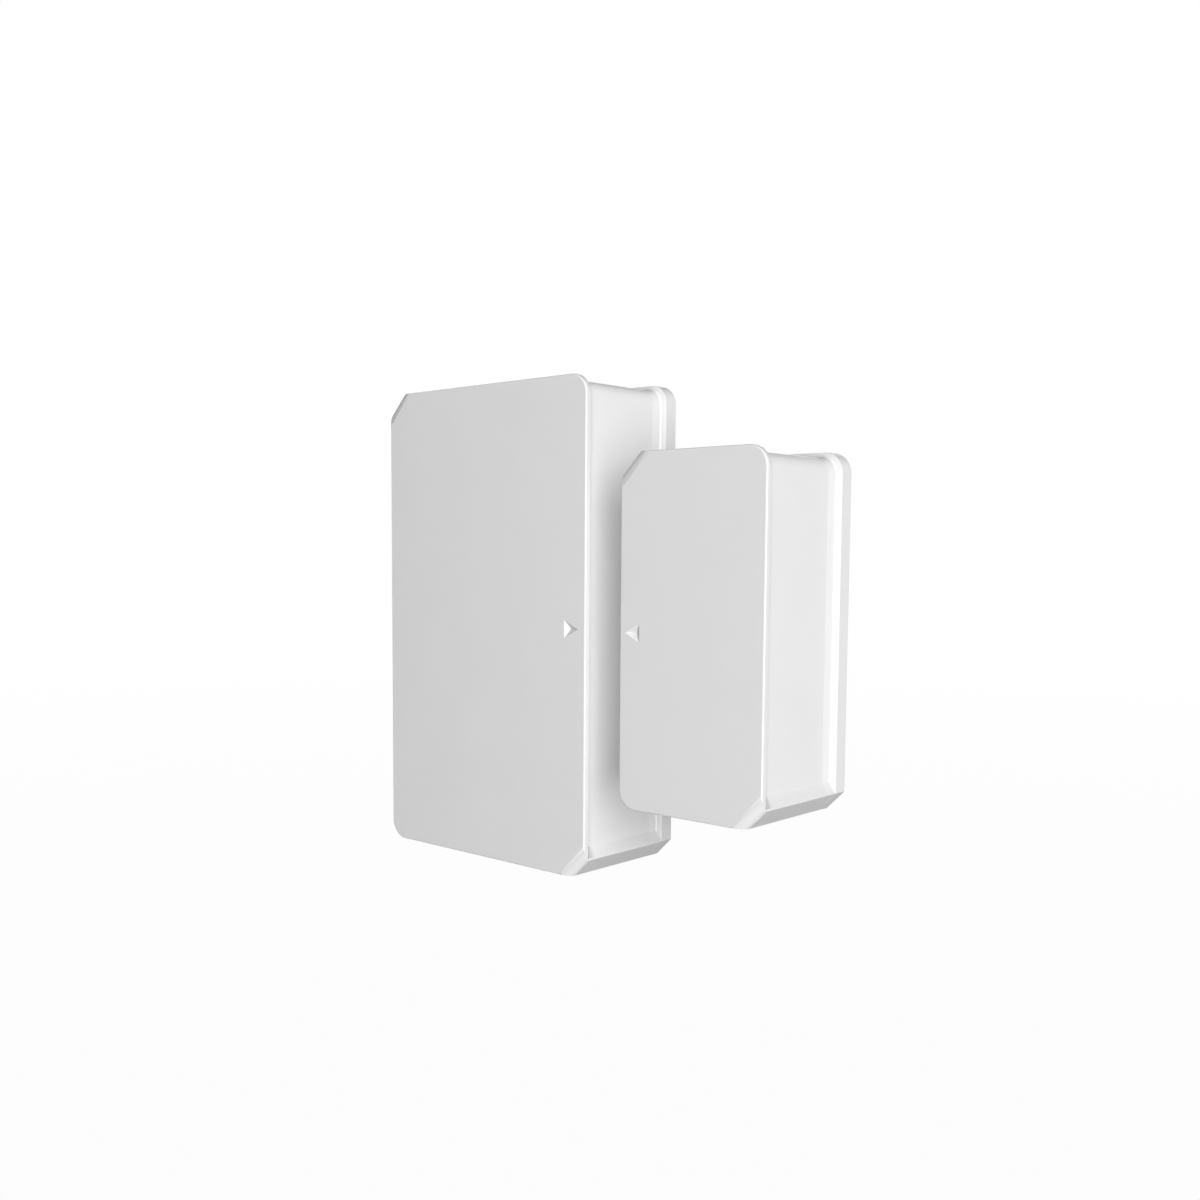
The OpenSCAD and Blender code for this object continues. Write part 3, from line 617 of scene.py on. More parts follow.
def soft_corner(corner, arrive, leave, radius):
    """Points that round a 45 degree corner between the directions arrive and leave."""
    corner, arrive, leave = Vector(corner), Vector(arrive), Vector(leave)
    reach = radius * math.tan(math.radians(22.5))
    return [tuple(p) for p in turn_curve(corner - arrive * reach, corner, corner + leave * reach, 4)]


def unit_ring(w, h, inset, step, run_out):
    """A loop round a unit's outline, moved in by inset all round, and in by step more along the
    walls between the slanted corners. It starts at the slanted corner at the lower right."""
    half_w, half_h = w / 2 - inset, h / 2 - inset
    cut = CORNER_CUT - inset * (2 - math.sqrt(2))
    radius = CORNER_R - inset
    edge = max(CUT_EDGE_R - inset / 2, 0.05)
    slant = math.sqrt(0.5)
    half = soft_corner((half_w, -half_h + cut), (slant, slant), (0, 1), edge)
    half.append((half_w, -half_h + cut + STEP_LAND))
    half.append((half_w - step, -half_h + cut + run_out))
    for a in quarter(14):
        x = half_w - radius + (radius - step) * math.cos(a)
        y = half_h - radius + (radius - step) * math.sin(a)
        half.append((x, y))
    half.append((-half_w + cut + run_out, half_h - step))
    half.append((-half_w + cut + STEP_LAND, half_h))
    half += soft_corner((-half_w + cut, half_h), (-1, 0), (-slant, -slant), edge)
    return half + [(-x, -y) for x, y in half]


def cover_levels(foot, front):
    """Heights, insets, steps and run-outs of a cover's loops, from its foot to its front face."""
    rim_low = front - RIM_T
    neck = rim_low - RIM_NECK
    plain = STEP_RUN_OUT
    wide = plain + STEP_CORNER_R
    lower, upper = STEP - FOOT_FLARE, STEP - UPPER_FLARE
    flare = (
        (0.0, lower + 0.08),
        (0.04, lower + 0.02),
        (0.1, lower),
        (LAND_LOW - 0.02, upper + LAND_LEAN - 0.004),
        (LAND_LOW + 0.02, upper + LAND_LEAN),
        (LAND_HIGH - 0.02, upper),
        (LAND_HIGH + 0.02, upper),
        (FOOT_FLARE_H - 0.1, STEP - 0.01),
        (FOOT_FLARE_H, STEP),
    )
    levels = [(foot + rise, 0.0, step, plain) for rise, step in flare]
    for a in quarter(6):
        height = neck - STEP_CORNER_R * (1 - math.sin(a))
        levels.append((height, 0.0, STEP, plain + STEP_CORNER_R * (1 - math.cos(a))))
    for a in quarter(4)[1:]:
        step = STEP - RIM_NECK_R * (1 - math.cos(a))
        levels.append((neck + RIM_NECK_R * math.sin(a), 0.0, step, wide))
    for rise, step in ((0.0, 0.16), (0.05, 0.04), (0.14, 0.0)):
        levels.append((rim_low + rise, 0.0, step, wide))
    for a in quarter(6):
        drop = FRONT_EDGE_R * (1 - math.sin(a))
        levels.append((front - drop, FRONT_EDGE_R * (1 - math.cos(a)), 0.0, plain))
    return levels


def rounded_rect(w, h, r, steps=6):
    """A rectangle about the middle, with rounded corners."""
    points = []
    for cx, cy, start in ((1, -1, -90), (1, 1, 0), (-1, 1, 90), (-1, -1, 180)):
        for k in range(steps + 1):
            a = math.radians(start + 90 * k / steps)
            points.append((cx * (w / 2 - r) + r * math.cos(a), cy * (h / 2 - r) + r * math.sin(a)))
    return points


def facet_cutters(w, h, front):
    """Two blocks with a rounded underside that ease the front face into the slanted corners."""
    start = ((w + h) / 2 - FACET_CUT) / math.sqrt(2) - FACET_BLEND
    reach = (FACET_CUT - CORNER_CUT) / math.sqrt(2) + FACET_BLEND
    aside = (w - h) / 2 / math.sqrt(2)
    half_long = 6.0
    above = 2.0
    profile = [(start - 0.2, front + above), (start - 0.2, front + 0.02)]
    for k in range(13):
        a = math.radians(82) * k / 12
        profile.append((start + reach * math.sin(a), front - FACET_DROP * (1 - math.cos(a))))
    profile.append((start + reach + above, front - FACET_DROP))
    profile.append((start + reach + above, front + above))
    blocks = bmesh.new()
    for turn in (-45, 135):
        part = bmesh.new()
        loft(part, [[(u, aside + v, d) for u, d in profile] for v in (-half_long, half_long)])
        bmesh.ops.recalc_face_normals(part, faces=part.faces[:])
        join(blocks, part, Matrix.Rotation(math.radians(turn), 4, "Z"))
    return blocks


def arrow_cutter(tip_x, point, front):
    """The pyramid that sinks an alignment arrow; point is the side its tip is on."""
    over = 0.3
    grow = (ARROW_DEPTH + over) / ARROW_DEPTH
    centre = tip_x - point * ARROW_W * 2 / 3
    corners = [(ARROW_W * 2 / 3, 0), (-ARROW_W / 3, ARROW_H / 2), (-ARROW_W / 3, -ARROW_H / 2)]
    top = [(centre + point * dx * grow, dy * grow, front + over) for dx, dy in corners]
    if point < 0:
        top.reverse()
    bm = bmesh.new()
    rim = [bm.verts.new(p) for p in top]
    tip = bm.verts.new((centre, 0, front - ARROW_DEPTH))
    bm.faces.new(rim)
    for k in range(3):
        bm.faces.new((rim[(k + 1) % 3], rim[k], tip))
    return bm


def build_cover(node, body, arrow_point, arrow_in, lug_y, ribs, pins, boss=None):
    """A unit's front shell: stepped walls, rounded rim, facets, arrow, hollow and ribs.

    The pins are where the mould's ejector pins left round marks on the inner face. The boss is
    the hollow post round the light guide.
    """
    box = wall_box(node)
    w, h = box.x1 - box.x0, box.y1 - box.y0
    cx = (box.x0 + box.x1) / 2
    foot, front = box.d0, box.d1
    inside = front - FRONT_WALL
    wall = STEP + SIDE_WALL

    shell = bmesh.new()
    rings = []
    for d, inset, step, run_out in cover_levels(foot, front):
        rings.append([(x, y, d) for x, y in unit_ring(w, h, inset, step, run_out)])
    loft(shell, rings)
    carve(shell, facet_cutters(w, h, front))
    carve(shell, arrow_cutter(arrow_point * (w / 2 - arrow_in), arrow_point, front))

    hollow = bmesh.new()
    prism(hollow, rounded_rect(w - 2 * wall, h - 2 * wall, HOLLOW_R), foot - 1, inside)
    solid = bmesh.new()
    for rib in ribs:
        add_box(solid, Box(rib.x0 - cx, rib.x1 - cx, rib.y0, rib.y1, rib.d0, inside + 1))
    carve(hollow, solid)
    if boss is not None:
        drill(hollow, boss.x - cx, boss.y, boss.low, inside + 1, boss.r)
    carve(shell, hollow)
    if boss is not None:
        drill(shell, boss.x - cx, boss.y, boss.low - 1, boss.bore_end, boss.bore_r)

    nicks = bmesh.new()
    for side in (-1, 1):
        for sy in (-1, 1):
            x = side * (w / 2 - wall)
            span = sorted((x - side * 0.3, x + side * LUG_POCKET_IN))
            y = sy * lug_y
            half = LUG_W / 2 + LUG_PLAY
            add_box(nicks, Box(*span, y - half, y + half, LUG_POCKET_LOW, LUG_POCKET_HIGH))
    add_box(nicks, Box(-PRY_W / 2, PRY_W / 2, -h / 2 - 1, -h / 2 + PRY_IN, foot - 1, foot + PRY_H))
    for x, y in pins:
        cylinder(nicks, x, y, inside - 0.5, inside + PIN_MARK_DEPTH, PIN_MARK_R)
    carve(shell, nicks)
    bmesh.ops.translate(shell, verts=shell.verts[:], vec=(cx, 0, 0))
    piece(node + "_shell", shell, [COVER], node, body, sharp=26)


def build_covers():
    """Both covers, with the ribs that steady the cell and the magnet."""
    cell, guide, foam_box = (wall_box(n) for n in ("battery_cell", "light_guide", "magnet_foam"))
    cover = wall_box("sensor_cover")
    inside = cover.d1 - FRONT_WALL
    across = cover.x1 - cover.x0 - 2 * (STEP + SIDE_WALL) + 2
    cell_x = middle(cell)[0]
    ribs = []
    for side in (-1, 1):
        ribs.append(centred_box(cell_x, side * 6, 10, 1, cell.d1 + 0.1, inside))
        ribs.append(centred_box(0, side * 27.5, across, 1, inside - 1, inside))
    pins = [(sx * 14, sy * 20) for sx in (-1, 1) for sy in (-1, 1)]
    boss = Boss(*middle(guide), 2.5, 1.52, inside - 2.2, guide.d1 + 0.05)
    build_cover("sensor_cover", "sensor_front", 1, SENSOR_ARROW_IN, 21.0, ribs, pins, boss)

    ribs = []
    for row in (-1, 0, 1):
        low, high = row * 11 - 0.6, row * 11 + 0.6
        ribs.append(Box(foam_box.x0 - 0.1, foam_box.x1 + 0.5, low, high, foam_box.d1 + 0.02, inside))
    pins = [(4, -17), (4, 17)]
    build_cover("magnet_cover", "magnet_front", -1, MAGNET_ARROW_IN, 12.0, ribs, pins)


# -------- the circuit board

COPPER_I, TIN_I, INK_I, HOLE_SHADE_I = range(4)


def via(bm, x, y, top, radius=0.32):
    cylinder(bm, x, y, top, top + PLATED_T, radius, 20, TIN_I)
    # painted shade: a near-black disc on the via stands in for the shadow inside its hole
    cylinder(bm, x, y, top, top + PLATED_T + 0.006, radius * 0.45, 12, HOLE_SHADE_I)


def land(bm, x, y, w, h, top):
    add_box(bm, centred_box(x, y, w, h, top, top + PLATED_T), index=TIN_I)


def track(bm, points, top, width=0.3):
    ribbon(bm, points, width, top, top + TRACK_T, COPPER_I)


def flat_ring(bm, x, y, inner, outer, top, index):
    high = top + PLATED_T
    profile = [(inner, top), (outer, top), (outer, high), (inner, high), (inner, top)]
    lathe(bm, profile, at(x, y), 40, index)


def ink_frame(bm, box, grow, top):
    """A printed outline round a part."""
    x, y = middle(box)
    w, h = box.x1 - box.x0 + 2 * grow, box.y1 - box.y0 + 2 * grow
    high = top + INK_T
    for side in (-1, 1):
        add_box(bm, centred_box(x, y + side * (h - INK_W) / 2, w, INK_W, top, high), index=INK_I)
    for side in (-1, 1):
        bar = centred_box(x + side * (w - INK_W) / 2, y, INK_W, h - 2 * INK_W, top, high)
        add_box(bm, bar, index=INK_I)


def reed_holes():
    """Where the reed switch's wires go through the board."""
    x = middle(wall_box("reed_glass"))[0]
    upper, lower = wall_box("reed_lead_upper"), wall_box("reed_lead_lower")
    return [(x, upper.y1 - REED_WIRE_R), (x, lower.y0 + REED_WIRE_R)]


def antenna_foot():
    box = wall_box("antenna_wire")
    return box.x0 + ANTENNA_R, box.y0 + ANTENNA_R


def fan_out(bm, box, top):
    """Lands under a chip's leads, and tracks to vias where the board beside it is free."""
    x, y = middle(box)
    reach = (box.x1 - box.x0) / 2
    free = {0: range(6), 1: range(4, LEADS)}
    for side in range(4):
        turn = Matrix.Rotation(math.pi / 2 * side, 4, "Z")
        for k in range(LEADS):
            v = (k - (LEADS - 1) / 2) * LEAD_PITCH
            out = reach + (0.6 if k % 2 else 1.2)
            line = [(reach - 0.6, v), (reach + 0.3, v), (out, v * 1.09)]
            placed = [turn @ Vector((u, w, 0)) for u, w in line]
            if k in free.get(side, ()):
                track(bm, [(x + p.x, y + p.y) for p in placed], top, 0.22)
                via(bm, x + placed[-1].x, y + placed[-1].y, top, 0.24)
            foot = turn @ Vector((reach - 0.15, v, 0))
            size = (0.9, 0.45) if side % 2 == 0 else (0.45, 0.9)
            land(bm, x + foot.x, y + foot.y, *size, top)


def draw_rings(art, top, access_x):
    """Rings round the wires' holes, the access hole and the screws."""
    for x, y in reed_holes() + [antenna_foot()]:
        flat_ring(art, x, y, 0.36, 0.85, top, TIN_I)
    flat_ring(art, access_x, 24.0, 4.6, 4.95, top, INK_I)
    for screw in island_boxes("board_screws"):
        flat_ring(art, *middle(screw), 1.15, 2.05, top, TIN_I)


def draw_tracks(art, board, access_x):
    """Copper areas, long tracks, loose vias, test lands and marks."""
    top = board.d1
    high = top + TRACK_T
    edge = 0.5
    radio, switch = wall_box("radio_board"), wall_box("pairing_switch")
    capacitor = wall_box("storage_capacitor")
    areas = [
        Box(board.x0 + edge, access_x - 5.4, 20.6, 26.2, top, high),
        Box(access_x + 5.4, capacitor.x0 - 0.6, 20.8, 29.2, top, high),
        Box(5.6, 11.6, board.y0 + edge, radio.y0 - 0.9, top, high),
    ]
    for area in areas:
        add_box(art, area, index=COPPER_I)
    for k in range(4):
        x = 10.7 + k * 0.5
        line = [(x, switch.y1 + 2.6 + k * 0.4), (x, switch.y0 - 5.2), (x - 0.7, switch.y0 - 6.0)]
        track(art, line, top, 0.22)
    upper, lower = reed_holes()
    track(art, [upper, (upper[0], 16.6), (13.4, 17.6), (13.4, 22.4)], top)
    track(art, [lower, (12.9, -8.4), (12.9, -2.2), (11.9, -1.2)], top)
    track(art, [(access_x, 18.4), (-5.2, 18.4), (-4.4, 17.6), (3.0, 17.6), (3.6, 18.2)], top, 0.6)
    track(art, [antenna_foot(), (-14.2, 17.9), (-10.6, 17.9)], top, 0.4)
    track(art, [(1.0, -13.0), (1.0, -8.6), (1.6, -8.0), (2.4, -8.0)], top, 0.5)
    for k in range(5):
        via(art, -15.4 + (k % 2) * 0.9, 21.2 + k * 1.1, top)
        via(art, -2.6 + (k % 2) * 1.2, 21.6 + k * 1.5, top)
        via(art, 6.2 + k * 1.1, board.y0 + 1.5 + (k % 2), top)
    for k in range(6):
        land(art, 1.4 + (k % 2) * 1.5, -20.5 - (k // 2) * 1.9, 1.1, 1.1, top)
    for x, y in ((board.x1 - 1.2, 23.6), (board.x0 + 1.3, 29.6), (1.4, board.y0 + 1.2)):
        cylinder(art, x, y, top, high, 0.5, 24, TIN_I)
        flat_ring(art, x, y, 0.75, 0.85, top, INK_I)


def draw_lands(art, top):
    """Lands and printed outlines of the small parts."""
    for box in island_boxes("chip_resistors"):
        x, y = middle(box)
        for side in (-1, 1):
            land(art, x, y + side * 0.95, 1.3, 0.7, top)
            line = centred_box(x + side * 0.88, y, INK_W, 1.6, top, top + INK_T)
            add_box(art, line, index=INK_I)
    crystal, led = wall_box("clock_crystal"), wall_box("status_led")
    switch, capacitor = wall_box("pairing_switch"), wall_box("storage_capacitor")
    for box, grow in ((crystal, 0.25), (led, 0.3), (switch, 0.35), (capacitor, 0.35)):
        ink_frame(art, box, grow, top)
    ink_frame(art, wall_box("radio_board"), 0.3, top)
    for side in (-1, 1):
        x, y = middle(crystal)
        land(art, x + side * 4.1, y, 1.8, 1.2, top)
        x, y = middle(led)
        land(art, x, y + side * 1.75, 2.4, 0.9, top)
        x, y = middle(capacitor)
        land(art, x, y + side * 2.7, 1.2, 1.2, top)
        x, y = middle(switch)
        for other in (-1, 1):
            land(art, x + side * SWITCH_LEG_OUT, y + other * 3.5, 1.1, 1.3, top)


def build_board_artwork():
    """Tracks, copper areas, lands, vias and printed outlines on the board's front."""
    board = wall_box("circuit_board")
    access_x = middle(wall_box("battery_cell"))[0]
    art = bmesh.new()
    fan_out(art, wall_box("controller_chip"), board.d1)
    draw_rings(art, board.d1, access_x)
    draw_tracks(art, board, access_x)
    draw_lands(art, board.d1)
    # the fourth finish, dark nylon, is the painted shade on the via holes
    finish = [MASKED_COPPER, TIN, INK, HOLDER]
    piece("board_artwork", art, finish, sharp=40, weighted=False)


def build_solder():
    """Solder cones round wires, and flat domes on the battery tails."""
    top = wall_box("circuit_board").d1
    bm = bmesh.new()
    cone = [(0.78, 0.0), (0.62, 0.08), (0.46, 0.24), (0.38, 0.45), (0.3, 0.5)]
    for place, grow in zip(reed_holes() + [antenna_foot()], (1.0, 1.0, 1.3)):
        matrix = at(*place, top) @ Matrix.Diagonal((grow, grow, 1, 1))
        lathe(bm, cone, matrix, 24)
    dome = [(1.05, 0.0), (0.95, 0.12), (0.7, 0.24), (0.35, 0.3), (0, 0.32)]
    minus, plus = wall_box("battery_negative_contact"), wall_box("battery_positive_contact")
    tails = [(minus.x1 - 1.2, minus.y0 + 1.3, top + 0.3), (middle(plus)[0], plus.y1 + 0.1, top)]
    for place in tails:
        lathe(bm, dome, at(*place), 24)
    piece("solder_joints", bm, [SOLDER], sharp=60, weighted=False)


def build_chip():
    """Controller: moulded body with a bevelled edge, a first-lead dimple and bent leads."""
    box = wall_box("controller_chip")
    x, y = middle(box)
    half = (box.x1 - box.x0) / 2 - 1.0
    low = box.d0
    body = bmesh.new()
    rings = []
    for height, inset in ((0.1, 0.12), (0.5, 0.0), (0.68, 0.0), (box.d1 - low, 0.12)):
        side = 2 * (half - inset)
        outline = rounded_rect(side, side, 0.15, 2)
        rings.append([(x + px, y + py, low + height) for px, py in outline])
    loft(body, rings)
    drill(body, x - half + 1, y + half - 1, box.d1 - 0.08, box.d1 + 1, 0.42, 24)
    # a lead's upper and lower side: distance from the chip's middle, and height
    upper = [(3.3, 0.6), (3.72, 0.6), (3.84, 0.54), (3.94, 0.2), (4.04, 0.14), (4.5, 0.14)]
    lower = [(4.5, 0.0), (3.96, 0.0), (3.85, 0.08), (3.76, 0.4), (3.68, 0.47), (3.3, 0.47)]
    for turn in range(4):
        spin = Matrix.Rotation(math.pi / 2 * turn, 4, "Z")
        for k in range(LEADS):
            v = (k - (LEADS - 1) / 2) * LEAD_PITCH
            lead = bmesh.new()
            loft(lead, [[(u, v + w, d) for u, d in upper + lower] for w in (-0.16, 0.16)], 1)
            bmesh.ops.recalc_face_normals(lead, faces=lead.faces[:])
            join(body, lead, at(x, y, low) @ spin)
    piece("controller_chip_body", body, [RESIN, TIN], "controller_chip")


def build_crystal():
    """Welded metal can on a flanged base."""
    box = wall_box("clock_crystal")
    x, y = middle(box)
    bm = bmesh.new()
    w, h = box.x1 - box.x0, box.y1 - box.y0
    high = box.d1 - box.d0
    levels = (
        (0.0, 0.06), (0.05, 0.0), (0.25, 0.0), (0.32, 0.1), (0.34, 0.36), (0.45, 0.32),
        (high - 0.35, 0.34), (high - 0.12, 0.42), (high - 0.02, 0.58), (high, 0.78),
    )
    rings = []
    for height, inset in levels:
        outline = rounded_rect(w - 2 * inset, h - 2 * inset, h / 2 - inset - 0.02, 10)
        rings.append([(x + px, y + py, box.d0 + height) for px, py in outline])
    loft(bm, rings)
    piece("crystal_can", bm, [SHIELD], "clock_crystal")


def build_capacitor():
    """Rolled aluminium can with a crimped neck on a dark seat, and a marked top."""
    box = wall_box("storage_capacitor")
    x, y = middle(box)
    high = box.d1 - box.d0
    w = (box.x1 - box.x0) / 2
    bm = bmesh.new()
    cut = 0.85
    seat = [(-w, -w), (w - cut, -w), (w, -w + cut), (w, w - cut), (w - cut, w), (-w, w)]
    prism(bm, [(x + px, y + py) for px, py in seat], box.d0, box.d0 + 0.72, 1)
    r = 2.5
    profile = [
        (0, 0.7), (r - 0.12, 0.7), (r, 0.84), (r, 1.2), (r - 0.1, 1.32), (r - 0.25, 1.45),
        (r - 0.25, 1.6), (r - 0.1, 1.75), (r, 1.88), (r, high - 0.32), (r - 0.06, high - 0.14),
        (r - 0.2, high - 0.03), (r - 0.36, high), (r - 0.5, high - 0.05), (0, high - 0.05),
    ]
    lathe(bm, profile, at(x, y, box.d0), 56)
    arc = [math.radians(-58 + 116 * k / 16) for k in range(17)]
    mark = [(x + 1.97 * math.cos(a), y + 1.97 * math.sin(a)) for a in arc]
    prism(bm, mark, box.d1 - 0.06, box.d1 - 0.035, 1)
    piece("capacitor_can", bm, [CAN, RESIN], "storage_capacitor", sharp=40)


def build_led():
    """White cup with a phosphor pool and plated ends."""
    box = wall_box("status_led")
    x, y = middle(box)
    bm = bmesh.new()
    rim = box.d0 + 1.3
    add_box(bm, Box(box.x0, box.x1, box.y0 + 0.35, box.y1 - 0.35, box.d0, rim), 0.06)
    for side in (-1, 1):
        end = y + side * (box.y1 - box.y0) / 2
        low, high = sorted((end, end - side * 0.4))
        add_box(bm, Box(box.x0 + 0.15, box.x1 - 0.15, low, high, box.d0, box.d0 + 0.75), 0.05, 1)
    dome = [(1.2, 0.0), (1.17, 0.12), (1.02, 0.32), (0.7, 0.49), (0.35, 0.57), (0, 0.59)]
    lathe(bm, dome, at(x, y, rim - 0.01), 40, 2)
    lip = [(1.2, -0.02), (1.32, -0.02), (1.28, 0.07), (1.22, 0.07), (1.2, -0.02)]
    lathe(bm, lip, at(x, y, rim), 40, 0)
    piece("led_package", bm, [LED_BODY, TIN, PHOSPHOR], "status_led", sharp=40)


def build_switch():
    """Pairing switch: moulded body under a riveted metal plate, and its round key."""
    box = wall_box("pairing_switch")
    key = wall_box("pairing_button")
    x, y = middle(box)
    half = 3.0
    key_r = (key.x1 - key.x0) / 2
    bm = bmesh.new()
    plate = bmesh.new()
    add_box(bm, centred_box(x, y, 2 * half, 2 * half, box.d0, box.d1 - 0.32), 0.12)
    add_box(plate, centred_box(x, y, 5.7, 5.7, box.d1 - 0.34, box.d1 - 0.06), 0.08, 1)
    for solid in (bm, plate):
        drill(solid, x, y, box.d1 - 1.35, box.d1 + 1, key_r + 0.06)
    join(bm, plate)
    for sx in (-1, 1):
        for sy in (-1, 1):
            rivet = [(0.52, 0.0), (0.5, 0.05), (0.36, 0.08), (0, 0.08)]
            place = at(x + sx * 2.2, y + sy * 2.2, box.d1 - 0.08)
            lathe(bm, rivet, place, 24, 0)
            low, high = sorted((y + sy * (half - 0.4), y + sy * 3.9))
            leg_x = x + sx * SWITCH_LEG_OUT
            add_box(bm, Box(leg_x - 0.35, leg_x + 0.35, low, high, box.d0, box.d0 + 0.22), 0.05, 1)
    finish = [SWITCH, NICKEL]
    piece("pairing_switch_body", bm, finish, "pairing_switch", sharp=40)
    button = bmesh.new()
    lathe(button, rounded_rod(key_r, key.d0, key.d1, 0.22), at(x, y), 48)
    piece("pairing_key_cap", button, [BUTTON], "pairing_button", "pairing_key")


def build_resistors():
    """Chip parts with plated ends: glazed resistors, and every third one a brown capacitor."""
    bm = bmesh.new()
    for k, box in enumerate(island_boxes("chip_resistors")):
        brown = k % 3 == 2
        top = box.d1 if brown else box.d1 - 0.12
        body = Box(box.x0 + 0.03, box.x1 - 0.03, box.y0 + 0.25, box.y1 - 0.25, box.d0, top)
        add_box(bm, body, 0.03, 2 if brown else 3, 1)
        if not brown:
            glaze = Box(box.x0 + 0.05, box.x1 - 0.05, box.y0 + 0.3, box.y1 - 0.3, top, top + 0.05)
            add_box(bm, glaze, 0.02, 0, 1)
        for low, high in ((box.y0, box.y0 + 0.32), (box.y1 - 0.32, box.y1)):
            add_box(bm, Box(box.x0, box.x1, low, high, box.d0, box.d1), 0.05, 1)
    finish = [CERAMIC, TIN, BROWN_CERAMIC, LED_BODY]
    node = "chip_resistors"
    piece("chip_parts", bm, finish, node, sharp=40, weighted=False)


def build_radio_artwork():
    """Edge lands and a printed zigzag antenna on the radio board."""
    radio = wall_box("radio_board")
    can = wall_box("radio_shield")
    top = radio.d1
    bm = bmesh.new()
    for side, inward in ((radio.x0, 1), (radio.x1, -1)):
        for k in range(8):
            y = middle(radio)[1] + (k - 3.5) * 1.6
            x = side + inward * 0.68
            add_box(bm, centred_box(x, y, 0.64, 0.9, top, top + TRACK_T), index=TIN_I)
            for dy in (-0.4, 0.4):
                arm = centred_box(side + inward * 0.2, y + dy, 0.4, 0.12, top, top + TRACK_T)
                add_box(bm, arm, index=TIN_I)
    low, high = can.y1 + 0.7, radio.y1 - 0.5
    x = radio.x0 + 1.6
    line = [(x, can.y1 + 0.2)]
    for k in range(7):
        near, far = (low, high) if k % 2 == 0 else (high, low)
        line += [(x, near), (x, far)]
        x += 1.35
    ribbon(bm, line[:-1], 0.28, top, top + TRACK_T, COPPER_I)
    piece("radio_artwork", bm, [COPPER, TIN], sharp=40, weighted=False)


# -------- battery, springs and wires


def lying(box):
    """Lays a piece drawn along d down along y, from the lower end of a box."""
    foot = at(middle(box)[0], box.y0, (box.d0 + box.d1) / 2)
    return foot @ Matrix.Rotation(-math.pi / 2, 4, "X")


def build_cell():
    """Half-AA cell: a plated can with a rolled groove inside a shrunk sleeve with a band."""
    box = wall_box("battery_cell")
    r = (box.x1 - box.x0) / 2
    length = box.y1 - box.y0
    body = length - 0.8
    lie = lying(box)
    bm = bmesh.new()
    can_r = r - 0.1
    can = [
        (0, 0.04), (4.6, 0.04), (4.9, 0.16), (5.4, 0.16), (5.7, 0.05), (can_r - 0.5, 0.05),
        (can_r, 0.5), (can_r, body - 2.5), (can_r - 0.3, body - 2.0), (can_r - 0.3, body - 1.6),
        (can_r, body - 1.1), (can_r, body - 0.45), (can_r - 0.4, body - 0.05),
        (can_r - 0.8, body - 0.06), (can_r - 1.0, body - 0.32), (3.5, body - 0.32),
        (3.1, body - 0.04), (2.5, body), (2.5, length - 0.25), (2.42, length - 0.08),
        (2.25, length), (0, length),
    ]
    lathe(bm, can, lie, 72, 1)
    film = [
        (can_r - 1.1, 0.0), (can_r - 0.3, 0.0), (r - 0.12, 0.12), (r, 0.42), (r, body - 2.55),
        (r - 0.28, body - 2.05), (r - 0.28, body - 1.6), (r, body - 1.1), (r, body - 0.4),
        (r - 0.12, body - 0.12), (r - 0.4, body), (can_r - 0.95, body),
        (can_r - 0.95, body - 0.05), (can_r - 0.4, body - 0.05), (can_r, body - 0.45),
        (can_r, 0.5), (can_r - 0.5, 0.05), (can_r - 1.1, 0.04), (can_r - 1.1, 0.0),
    ]
    lathe(bm, film, lie, 72, 0)
    for low, high in ((body - 6.4, body - 3.4), (2.2, 2.7)):
        band = [(r - 0.02, low), (r + 0.004, low), (r + 0.004, high), (r - 0.02, high)]
        lathe(bm, band + band[:1], lie, 72, 2)
    finish = [WRAP, NICKEL, WRAP_BAND]
    piece("cell_in_sleeve", bm, finish, "battery_cell", sharp=40)


def build_spring(name, node, body, coil, wire, sides, matrix):
    """A coiled wire that stands for a CAD spring."""
    bm = bmesh.new()
    part = bmesh.new()
    tube(part, coil, wire, sides)
    join(bm, part, matrix)
    return piece(name, bm, [NICKEL], node, body, sharp=60, weighted=False)


def build_springs():
    """The cell's conical spring, and the tamper plunger's straight one, which rides on no body."""
    box = wall_box("battery_spring")
    wire = 0.3
    coil = coil_line(4.6, 2.6, wire, box.y1 - box.y0 - wire, 4)
    lie = lying(box)
    build_spring("cell_spring_wire", "battery_spring", "sensor_body", coil, wire, 12, lie)

    box = wall_box("tamper_spring")
    x, y = middle(box)
    wire = 0.15
    radius = (box.x1 - box.x0) / 2 - wire
    coil = coil_line(radius, radius, box.d0 + wire, box.d1 - wire, 4, dead_turns=0.5)
    stand = at(x, y)
    spring = build_spring("tamper_spring_wire", "tamper_spring", None, coil, wire, 10, stand)
    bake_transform(spring)


def build_antenna():
    """Lacquered copper wire with smooth bends."""
    box = wall_box("antenna_wire")
    r = ANTENNA_R
    x, y = antenna_foot()
    high, d = box.y1 - r, box.d1 - r
    corners = [(x, y, box.d0), (x, y, d), (x, y + 6.2, d), (x + 3.4, high, d), (box.x1 - 0.05, high, d)]
    bm = bmesh.new()
    tube(bm, bent_line(corners, 0.9), r, 16)
    tube(bm, [(box.x1 - 1.6, high, d), (box.x1, high, d)], r + 0.03, 16, 1)
    finish = [COPPER, RESIN]
    node = "antenna_wire"
    piece("antenna_copper_wire", bm, finish, node, sharp=50, weighted=False)


# -------- all pieces

build_covers()
build_board_artwork()
build_solder()
build_chip()
build_crystal()
build_capacitor()
build_led()
build_switch()
build_resistors()
build_radio_artwork()
build_cell()
build_springs()
build_antenna()

